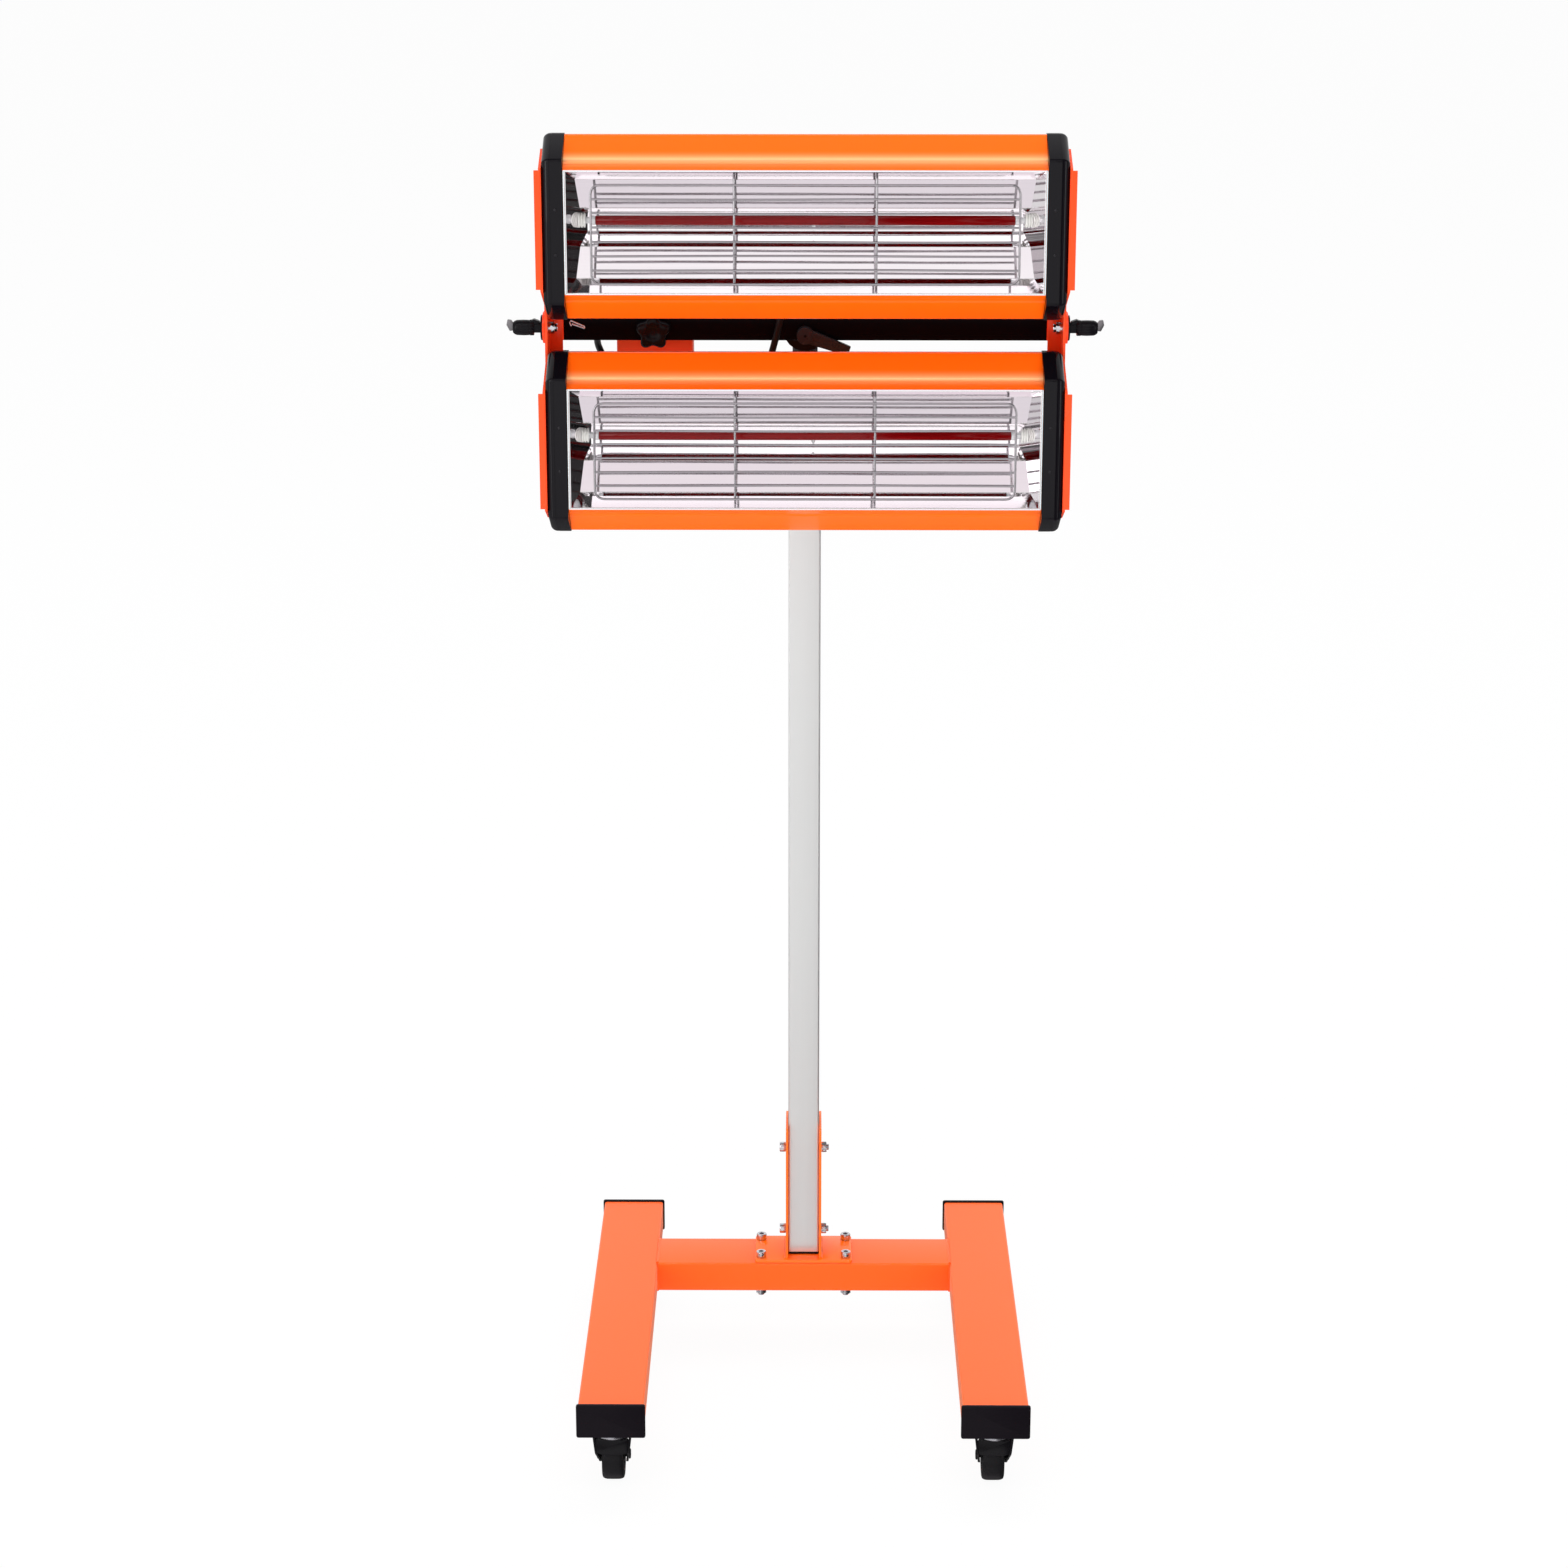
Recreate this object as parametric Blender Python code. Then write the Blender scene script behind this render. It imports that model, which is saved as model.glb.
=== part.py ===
"""Infrared paint curing lamp with two heads on a wheeled stand, in real size.

Metres, +Z up. X runs across the lamp and the lamps shine toward -Y. The origin is on the floor
below the middle of the base. Sizes are driving dimensions; places are worked out from them.
"""
import math

import bmesh
import bpy
from mathutils import Matrix, Vector

# Fits and cuts
FIT_GAP = 0.0003
TURN_GAP = 0.0004
CUT_OVERRUN = 0.004
WELD_OVERLAP = 0.001

# Sides of round pieces
WHEEL_SIDES = 24
ROUND_SIDES = 20
BOLT_SIDES = 12
WIRE_SIDES = 6

# Base frame
LEG_LENGTH = 0.600
LEG_WIDTH = 0.080
LEG_HEIGHT = 0.040
LEG_WALL = 0.002
LEG_SPACING = 0.467
CROSS_TUBE_BACK = 0.143
CAP_FLANGE = 0.005
CAP_LIP = 0.002
CAP_PLUG_DEPTH = 0.015
CAP_PLUG_WALL = 0.002

# Casters
CASTER_HEIGHT = 0.085
CASTER_PLATE = 0.060
CASTER_PLATE_METAL = 0.003
RACE_RADIUS = 0.023
RACE_HEIGHT = 0.008
RACE_ROUND = 0.002
KINGPIN_RADIUS = 0.005
RIVET_RADIUS = 0.009
RIVET_HEIGHT = 0.004
WHEEL_RADIUS = 0.031
WHEEL_WIDTH = 0.028
WHEEL_SHOULDER = 0.004
CASTER_TRAIL = 0.024
FORK_METAL = 0.003
FORK_SIDE_GAP = 0.002
FORK_FLARE = 0.0045
FORK_BOSS_RADIUS = 0.009
FORK_HOOD_DROP = 0.022
AXLE_RADIUS = 0.004
AXLE_HEAD_RADIUS = 0.006
AXLE_HEAD_HEIGHT = 0.002
PEDAL_BACK = 0.030
PEDAL_RISE = 0.035
PEDAL_LENGTH = 0.024
PEDAL_WIDTH = 0.026
PEDAL_PIN_RADIUS = 0.0025

# Saddle and post
SADDLE_LENGTH = 0.128
SADDLE_DEPTH = 0.078
SADDLE_BASE = 0.004
SADDLE_METAL = 0.003
SADDLE_WIDTH = 0.070
SADDLE_HEIGHT = 0.188
POST_WIDTH = 0.040
POST_WALL = 0.002
POST_LENGTH = 1.139
POST_PLUG_FLANGE = 0.003
POST_PLUG_DEPTH = 0.015
POST_PLUG_WALL = 0.002
POST_BOLT_RISE = 0.025
POST_BOLT_PITCH = 0.117

# Screws
BOLT_RADIUS = 0.004
BOLT_HOLE_GAP = 0.0005
BOLT_HEAD_RADIUS = 0.0065
BOLT_HEAD_HEIGHT = 0.008
BOLT_SOCKET_RADIUS = 0.0034
BOLT_SOCKET_DEPTH = 0.004
NUT_RADIUS = 0.0075
NUT_HEIGHT = 0.0065
BOLT_TAIL = 0.003
BASE_BOLT_SPREAD_X = 0.112
BASE_BOLT_SPREAD_Y = 0.056

# Post head and swing arm
HEAD_PLUG_DEPTH = 0.030
HEAD_FLANGE = 0.004
HEAD_EAR_METAL = 0.004
HEAD_EAR_RADIUS = 0.018
HEAD_PIVOT_RISE = 0.028
ARM_WIDTH = 0.030
ARM_WALL = 0.002
ARM_TAIL = 0.015
ARM_REACH = 0.158
ARM_RISE = 0.088
ARM_PIN_RADIUS = 0.005
HUB_RADIUS = 0.026
HUB_DEPTH = 0.028
LEVER_HUB_RADIUS = 0.010
LEVER_HUB_HEIGHT = 0.016
LEVER_LENGTH = 0.055
LEVER_THICKNESS = 0.008

# Crossbar and end brackets
CROSSBAR_END_GAP = 0.0016
CROSSBAR_HEIGHT = 0.040
CROSSBAR_DEPTH = 0.030
CROSSBAR_WALL = 0.002
CENTRE_PIN_RADIUS = 0.006
ROLL_DROP = 0.012
BRACKET_METAL = 0.003
BRACKET_FLANGE = 0.018
BRACKET_RADIUS = 0.018
TILT_FORWARD = 0.080
TILT_RISE = 0.009

# Side arms
SIDE_ARM_METAL = 0.003
SIDE_ARM_FLANGE = 0.008
SIDE_ARM_DEPTH = 0.092
SIDE_ARM_NECK = 0.022
SIDE_ARM_HALF = 0.212

# Ratchet handles
STUD_RADIUS = 0.005
DISC_RADIUS = 0.0145
DISC_THICKNESS = 0.002
GRIP_RADIUS = 0.0085
GRIP_LENGTH = 0.030
GRIP_TIP = 0.011

# Lamp heads
HEAD_HEIGHT = 0.209
HEAD_GAP = 0.038
HEAD_DROP = 0.004
HEAD_DEPTH = 0.095
HEAD_FRONT = 0.075
MOUTH_HEIGHT = 0.140
SHELL_LENGTH = 0.542
SHELL_WALL = 0.002
END_CAP_WIDTH = 0.0237
END_CAP_ROUND = 0.009
END_CAP_WALL = 0.003
END_CAP_PROUD = 0.0015
REFLECTOR_METAL = 0.001
REFLECTOR_SLANT = 0.020
REFLECTOR_DEPTH = 0.0665
REFLECTOR_SETBACK = 0.0015
REFLECTOR_END_GAP = 0.003
LAMP_RADIUS = 0.0056
LAMP_RED_MARGIN = 0.0335
LAMP_CLEAR_LENGTH = 0.011
CERAMIC_RADIUS = 0.0085
CERAMIC_LENGTH = 0.016
LAMP_DEPTH = 0.044
LAMP_RISE = 0.008
LAMP_HOLE_GAP = 0.002
GUARD_MARGIN = 0.029
GUARD_HEIGHT = 0.114
GUARD_WIRE = 0.0028
GUARD_ROUND = 0.012
GUARD_BARS = 8
GUARD_CORNER_STEPS = 3
GUARD_SETBACK = 0.005
GUARD_DROP = 0.003
GUARD_POST_SPACING = 0.160

# Control box
BOX_WIDTH = 0.090
BOX_HEIGHT = 0.070
BOX_DEPTH = 0.046
BOX_WALL = 0.003
BOX_INSET = 0.119
PANEL_THICKNESS = 0.004
SWITCH_WIDTH = 0.020
SWITCH_HEIGHT = 0.026
SWITCH_PITCH = 0.034
SWITCH_PROUD = 0.003
SWITCH_SWING = 0.0008
KNOB_RADIUS = 0.0185
KNOB_LOBE = 0.0028
KNOB_LOBES = 5
KNOB_HEIGHT = 0.018
KNOB_DROP = 0.008
KNOB_SIDES = 30
KNOB_STUD_RADIUS = 0.004
GLAND_RADIUS = 0.007
GLAND_LENGTH = 0.010
LEAD_RADIUS = 0.0040
LEAD_STEP = 0.010
ROUTE_STEPS = 12
UPPER_LEAD_DROP = 0.055
LOWER_LEAD_DROP = 0.015
UPPER_GLAND = (-0.020, -0.045)
LOWER_GLAND_OFFSET = (-0.037, 0.035)

# Outlines as shares of the sizes that they follow
SHELL_DEPTH_SHARES = (0.0, 0.137, 0.474, 0.62, 1.0)
SHELL_HEIGHT_SHARES = (0.0, 0.23, 1.0, 0.96, 0.15)
REFLECTOR_DEPTH_SHARES = (0.0, 0.27, 0.80, 1.0)
REFLECTOR_HEIGHT_SHARES = (1.0, 0.90, 0.52, 0.22)
LOBE_DEPTH_SHARES = (0.0, 0.0, 0.45, 0.85, 1.0, 1.0)
LOBE_HEIGHT_SHARES = (0.27, 0.92, 1.0, 0.98, 0.90, 0.24)
NECK_SHARE = 0.16
FLANGE_SHARES = (0.28, 0.91)
FORK_FRONT_SHARE = 0.65
FORK_BOSS_ANGLES = (195, 230, 270, 310, 345)
PEDAL_BACK_SHARES = (-0.17, 0.25, 1.0, 1.08, 0.92, 0.17, -0.17)
PEDAL_UP_SHARES = (-0.13, -0.17, 0.08, 0.25, 0.33, 0.15, 0.13)
LEVER_ROOT_SHARE = 0.85
LEVER_TIP_SHARE = 0.55
TIP_ALONG_SHARES = (0.0, 0.45, 1.0, 0.60, 0.0)
TIP_UP_SHARES = (-0.60, -0.45, 0.55, 0.95, 0.70)
BAR_SHARE = 0.93
CENTRE_PIN_SHARE = 0.70
ROLL_BORE_SHARE = 0.80
ARM_LEVER_WAY_SHARES = (0.94, 0.34)
CLAMP_LEVER_WAY_SHARES = (0.94, -0.34)
END_CAP_ANGLES = (0, 45, 90)
GUARD_SINK_SHARE = 0.8
ROCKER_BACK_SHARES = (-0.8, 1.0, 0.5, 1.0, -0.8)
ROCKER_UP_SHARES = (-0.85, -1.0, 0.0, 1.0, 0.85)

# Routes of the leads: shares of the way across and places in Y and Z, and places from the box
UPPER_LEAD_SHARES = (0.243, 0.456, 0.650, 0.786, 0.854, 0.893, 0.942, 0.990, 0.998)
UPPER_LEAD_ROUTE = (
    (0.002, 1.340), (-0.018, 1.335), (-0.042, 1.342), (-0.062, 1.362), (-0.073, 1.385),
    (-0.078, 1.402), (-0.080, 1.427), (-0.080, 1.455), (-0.0785, 1.475),
)
LOWER_LEAD_ROUTE = (
    (-0.0685, 0.000, 1.3785), (-0.0675, -0.014, 1.3705), (-0.062, -0.030, 1.3615), (-0.055, -0.050, 1.348),
    (-0.046, -0.068, 1.333), (-0.039, -0.080, 1.3215),
)

# Places worked out from the sizes
LEG_TOP = CASTER_HEIGHT + LEG_HEIGHT
LEG_MIDDLE = CASTER_HEIGHT + LEG_HEIGHT / 2
RACE_BOTTOM = CASTER_HEIGHT - FIT_GAP - CASTER_PLATE_METAL - RACE_HEIGHT
FORK_TOP = RACE_BOTTOM - FIT_GAP
FORK_UNDER = FORK_TOP - FORK_METAL
CASTER_BACK = LEG_LENGTH / 2 - CASTER_PLATE / 2
SADDLE_UNDER = LEG_TOP + FIT_GAP
SADDLE_TOP = SADDLE_UNDER + SADDLE_BASE
POST_BOTTOM = SADDLE_TOP + POST_PLUG_FLANGE + 2 * FIT_GAP
POST_TOP = POST_BOTTOM + POST_LENGTH
ARM_PIVOT = Vector((0, CROSS_TUBE_BACK, POST_TOP + HEAD_PIVOT_RISE))
HUB_FACE = ARM_PIVOT.y - ARM_REACH
ROLL_Z = ARM_PIVOT.z + ARM_RISE
YOKE_Z = ROLL_Z + ROLL_DROP
CROSSBAR_BACK = HUB_FACE - FIT_GAP
CROSSBAR_FRONT = CROSSBAR_BACK - CROSSBAR_DEPTH
ROLL_AXIS = Vector((0, CROSSBAR_FRONT, ROLL_Z))
TILT_AXIS = Vector((0, CROSSBAR_FRONT - TILT_FORWARD, YOKE_Z + TILT_RISE))
HEAD_FACE = TILT_AXIS.y - HEAD_FRONT
HEAD_PITCH = HEAD_HEIGHT + HEAD_GAP
ARM_INSIDE = SHELL_LENGTH / 2 + FIT_GAP + END_CAP_WIDTH + FIT_GAP
EAR_INSIDE = ARM_INSIDE + SIDE_ARM_METAL + FIT_GAP
DISC_INSIDE = EAR_INSIDE + BRACKET_METAL + FIT_GAP
CROSSBAR_END = EAR_INSIDE - CROSSBAR_END_GAP
BOX_SIDE = CROSSBAR_END - BOX_INSET
LOWER_GLAND = (LOWER_GLAND_OFFSET[0] - BOX_SIDE, LOWER_GLAND_OFFSET[1])
LAMP_RED_END = SHELL_LENGTH / 2 - LAMP_RED_MARGIN

# Colour, roughness and metallic value of each finish
FINISHES = {
    "orange_paint": ((1.0, 0.16, 0.025), 0.35, 0.0),
    "orange_shell": ((1.0, 0.19, 0.02), 0.28, 0.2),
    "red_orange_paint": ((0.90, 0.06, 0.02), 0.35, 0.0),
    "silver_aluminium": ((0.67, 0.67, 0.67), 0.40, 0.6),
    "black_plastic": ((0.010, 0.009, 0.012), 0.35, 0.0),
    "black_gloss": ((0.008, 0.007, 0.010), 0.15, 0.0),
    "black_paint": ((0.006, 0.006, 0.007), 0.40, 0.0),
    "black_rubber": ((0.012, 0.012, 0.014), 0.60, 0.0),
    "chrome": ((0.80, 0.80, 0.82), 0.12, 1.0),
    "zinc": ((0.60, 0.60, 0.62), 0.30, 1.0),
    "mirror_aluminium": ((0.90, 0.89, 0.90), 0.06, 1.0),
    "ruby_quartz": ((0.30, 0.01, 0.01), 0.08, 0.0),
}


def clear_scene():
    """Remove every object of the open scene."""
    for item in list(bpy.data.objects):
        bpy.data.objects.remove(item, do_unlink=True)


def make_finish(name):
    """Make the Principled material of one finish."""
    colour, roughness, metallic = FINISHES[name]
    material = bpy.data.materials.new(name)
    material.use_nodes = True
    shader = material.node_tree.nodes["Principled BSDF"]
    shader.inputs["Base Color"].default_value = (*colour, 1)
    shader.inputs["Roughness"].default_value = roughness
    shader.inputs["Metallic"].default_value = metallic
    return material


def new_mesh(points, faces):
    """Make a mesh from points and faces and turn its faces outward."""
    shape = bmesh.new()
    vertices = [shape.verts.new(point) for point in points]
    for face in faces:
        shape.faces.new([vertices[index] for index in face])
    bmesh.ops.recalc_face_normals(shape, faces=shape.faces)
    mesh = bpy.data.meshes.new("shape")
    shape.to_mesh(mesh)
    shape.free()
    return mesh


def side_faces(ring_a, ring_b, count):
    """List the quads between two rings of points."""
    return [
        (ring_a * count + k, ring_a * count + (k + 1) % count,
         ring_b * count + (k + 1) % count, ring_b * count + k)
        for k in range(count)
    ]


def loft(rings):
    """Join rings of points in turn and close both ends with a flat face."""
    count = len(rings[0])
    faces = []
    for index in range(len(rings) - 1):
        faces += side_faces(index, index + 1, count)
    last = (len(rings) - 1) * count
    faces.append(tuple(range(count)))
    faces.append(tuple(range(last, last + count)))
    return new_mesh([point for ring in rings for point in ring], faces)


def band(rings):
    """Join rings of points in turn and the last ring back to the first."""
    count = len(rings[0])
    faces = []
    for index in range(len(rings)):
        faces += side_faces(index, (index + 1) % len(rings), count)
    return new_mesh([point for ring in rings for point in ring], faces)


def spread(outline, axis, along):
    """Put a flat outline across the named axis at the given place along it."""
    if axis == "X":
        return [Vector((along, first, second)) for first, second in outline]
    if axis == "Y":
        return [Vector((first, along, second)) for first, second in outline]
    return [Vector((first, second, along)) for first, second in outline]


def prism(outline, axis, start, stop):
    """Extrude a flat outline along the named axis."""
    return loft([spread(outline, axis, start), spread(outline, axis, stop)])


def rectangle(centre, size):
    """Give the corners of a flat rectangle."""
    half_a, half_b = size[0] / 2, size[1] / 2
    return [
        (centre[0] - half_a, centre[1] - half_b), (centre[0] + half_a, centre[1] - half_b),
        (centre[0] + half_a, centre[1] + half_b), (centre[0] - half_a, centre[1] + half_b),
    ]


def box(low, high):
    """Make a block between two opposite corners."""
    middle = ((low[0] + high[0]) / 2, (low[1] + high[1]) / 2)
    return prism(rectangle(middle, (high[0] - low[0], high[1] - low[1])), "Z", low[2], high[2])


def square_tube(centre, size, wall, axis, start, stop):
    """Make a rectangular tube, open at both ends, along the named axis."""
    outer = rectangle(centre, size)
    inner = rectangle(centre, (size[0] - 2 * wall, size[1] - 2 * wall))
    return band([
        spread(outer, axis, start), spread(outer, axis, stop),
        spread(inner, axis, stop), spread(inner, axis, start),
    ])


def circle(radius, sides, centre=(0, 0)):
    """Give the corners of a regular polygon whose flats face along the axes."""
    turn = math.tau / sides
    return [
        (centre[0] + radius * math.cos((k + 0.5) * turn), centre[1] + radius * math.sin((k + 0.5) * turn))
        for k in range(sides)
    ]


def hexagon(radius, sides, centre=(0, 0)):
    """Give a hexagon with as many points as a round ring, so that the two can be joined."""
    points = []
    for k in range(sides):
        angle = (k + 0.5) * math.tau / sides
        from_flat = (angle + math.pi / 6) % (math.pi / 3) - math.pi / 6
        reach = radius * math.cos(math.pi / 6) / math.cos(from_flat)
        points.append((centre[0] + reach * math.cos(angle), centre[1] + reach * math.sin(angle)))
    return points


def clear_radius(radius, gap, sides):
    """Give the corner radius of a bore whose flats clear a round pin by the gap."""
    return (radius + gap) / math.cos(math.pi / sides)


def turned(profile, axis, centre, sides, outline=circle):
    """Turn a profile of radius and place along the axis into a closed solid."""
    return loft([spread(outline(radius, sides, centre), axis, along) for radius, along in profile])


def rod(radius, axis, centre, start, stop, sides):
    """Make a round rod."""
    return turned([(radius, start), (radius, stop)], axis, centre, sides)


def combine(operation, body, *tools):
    """Join, cut or intersect a mesh with other meshes and give the new mesh."""
    target = bpy.data.objects.new("target", body)
    bpy.context.scene.collection.objects.link(target)
    helpers = [target]
    for tool in tools:
        helper = bpy.data.objects.new("tool", tool)
        helper.display_type = "WIRE"
        helper.hide_render = True
        bpy.context.scene.collection.objects.link(helper)
        helpers.append(helper)
        step = target.modifiers.new("combine", "BOOLEAN")
        step.operation = operation
        step.solver = "EXACT"
        step.object = helper
    graph = bpy.context.evaluated_depsgraph_get()
    result = bpy.data.meshes.new_from_object(target.evaluated_get(graph))
    for helper in helpers:
        bpy.data.objects.remove(helper, do_unlink=True)
    return result


def join(body, *tools):
    """Join meshes that run into each other into one closed body."""
    return combine("UNION", body, *tools)


def cut(body, *tools):
    """Cut other meshes out of a mesh."""
    return combine("DIFFERENCE", body, *tools)


def moved(mesh, matrix):
    """Give a copy of a mesh, moved by a matrix, with its faces still outward."""
    copy = mesh.copy()
    copy.transform(matrix)
    if matrix.determinant() < 0:
        copy.flip_normals()
    return copy


def mirrored(mesh):
    """Give a copy of a mesh, mirrored from one side of the lamp to the other."""
    return moved(mesh, Matrix.Scale(-1, 4, (1, 0, 0)))


def add_empty(name, place, parent=None):
    """Add an empty that stands on a joint's axis."""
    empty = bpy.data.objects.new(name, None)
    empty.location = place
    if parent is not None:
        empty.parent = parent
        empty.location = place - parent.matrix_world.translation
    bpy.context.scene.collection.objects.link(empty)
    bpy.context.view_layer.update()
    return empty


def add_part(name, mesh, finish, pivot=Vector((0, 0, 0)), parent=None):
    """Add a sub-part whose mesh is drawn in the lamp's frame, with its origin at the pivot."""
    mesh.name = name
    mesh.transform(Matrix.Translation(-pivot))
    mesh.materials.clear()
    mesh.materials.append(bpy.data.materials[finish])
    mesh.shade_smooth()
    mesh.set_sharp_from_angle(angle=math.radians(35))
    item = bpy.data.objects.new(name, mesh)
    item.location = pivot
    if parent is not None:
        item.parent = parent
        item.location = pivot - parent.matrix_world.translation
    bpy.context.scene.collection.objects.link(item)
    bpy.context.view_layer.update()
    return item


def base_bolt_places():
    """Give the places of the four screws that hold the saddle."""
    return [
        (across * BASE_BOLT_SPREAD_X / 2, CROSS_TUBE_BACK + along * BASE_BOLT_SPREAD_Y / 2)
        for across in (-1, 1) for along in (-1, 1)
    ]


def post_bolt_heights():
    """Give the heights of the two screws through the saddle and the post."""
    low = POST_BOTTOM + POST_BOLT_RISE
    return [low, low + POST_BOLT_PITCH]


def bolt_hole(axis, centre, start, stop):
    """Make the cutter of a clearance hole for a screw."""
    return rod(clear_radius(BOLT_RADIUS, BOLT_HOLE_GAP, BOLT_SIDES), axis, centre, start, stop, BOLT_SIDES)


def pin_hole(radius, axis, centre, start, stop):
    """Make the cutter of a bore in which a pin turns."""
    return rod(clear_radius(radius, TURN_GAP, ROUND_SIDES), axis, centre, start, stop, ROUND_SIDES)


def bolt_and_nut(axis, centre, head_seat, nut_seat):
    """Make a socket screw with its nut, as one body, between the seats of head and nut."""
    out = 1 if head_seat > nut_seat else -1
    head_top = head_seat + out * BOLT_HEAD_HEIGHT
    steps = [
        (hexagon, BOLT_SOCKET_RADIUS, head_top - out * BOLT_SOCKET_DEPTH),
        (hexagon, BOLT_SOCKET_RADIUS, head_top),
        (circle, BOLT_HEAD_RADIUS, head_top),
        (circle, BOLT_HEAD_RADIUS, head_seat),
        (circle, BOLT_RADIUS, head_seat),
        (circle, BOLT_RADIUS, nut_seat),
        (hexagon, NUT_RADIUS, nut_seat),
        (hexagon, NUT_RADIUS, nut_seat - out * NUT_HEIGHT),
        (circle, BOLT_RADIUS, nut_seat - out * NUT_HEIGHT),
        (circle, BOLT_RADIUS, nut_seat - out * (NUT_HEIGHT + BOLT_TAIL)),
    ]
    return loft([spread(shape(radius, BOLT_SIDES, centre), axis, along) for shape, radius, along in steps])


def build_base_frame():
    """Two leg tubes, the cross tube between them and the caps in the leg ends."""
    half = LEG_LENGTH / 2
    section = (LEG_WIDTH, LEG_HEIGHT)
    for side, across in (("left", -1), ("right", 1)):
        centre = (across * LEG_SPACING / 2, LEG_MIDDLE)
        add_part("leg_" + side, square_tube(centre, section, LEG_WALL, "Y", -half, half), "orange_paint")
        for end, along in (("front", -1), ("rear", 1)):
            seat = half + FIT_GAP
            low = min(along * seat, along * (seat + CAP_FLANGE))
            flange = prism(rectangle(centre, (LEG_WIDTH + 2 * CAP_LIP, LEG_HEIGHT + 2 * CAP_LIP)),
                           "Y", low, low + CAP_FLANGE)
            inside = 2 * (LEG_WALL + FIT_GAP)
            plug = square_tube(centre, (LEG_WIDTH - inside, LEG_HEIGHT - inside), CAP_PLUG_WALL, "Y",
                               along * (half - CAP_PLUG_DEPTH), along * (seat + WELD_OVERLAP))
            add_part("leg_cap_" + end + "_" + side, join(flange, plug), "black_plastic")
    reach = LEG_SPACING / 2 - LEG_WIDTH / 2 - FIT_GAP
    tube = square_tube((CROSS_TUBE_BACK, LEG_MIDDLE), section, LEG_WALL, "X", -reach, reach)
    holes = [bolt_hole("Z", place, CASTER_HEIGHT - CUT_OVERRUN, LEG_TOP + CUT_OVERRUN)
             for place in base_bolt_places()]
    add_part("cross_tube", cut(tube, *holes), "orange_paint")


def caster_plate_mesh():
    """Top plate, race and riveted kingpin of a caster, with the swivel axis at x = y = 0."""
    top = CASTER_HEIGHT - FIT_GAP
    under = top - CASTER_PLATE_METAL
    half = CASTER_PLATE / 2
    plate = box((-half, -half, under), (half, half, top))
    rivet_top = FORK_UNDER - FIT_GAP
    race = turned([
        (RACE_RADIUS, under + WELD_OVERLAP),
        (RACE_RADIUS, RACE_BOTTOM + RACE_ROUND),
        (RACE_RADIUS - RACE_ROUND, RACE_BOTTOM),
        (KINGPIN_RADIUS, RACE_BOTTOM),
        (KINGPIN_RADIUS, rivet_top),
        (RIVET_RADIUS, rivet_top),
        (RIVET_RADIUS, rivet_top - RIVET_HEIGHT / 2),
        (KINGPIN_RADIUS, rivet_top - RIVET_HEIGHT),
    ], "Z", (0, 0), ROUND_SIDES)
    return join(plate, race)


def flared(mesh):
    """Lean the sides of a fork outward above the axle, up to the width of the race."""
    for vertex in mesh.vertices:
        rise = (vertex.co.z - WHEEL_RADIUS) / (FORK_UNDER - WHEEL_RADIUS)
        vertex.co.x += math.copysign(1, vertex.co.x) * FORK_FLARE * rise
    return mesh


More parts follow.
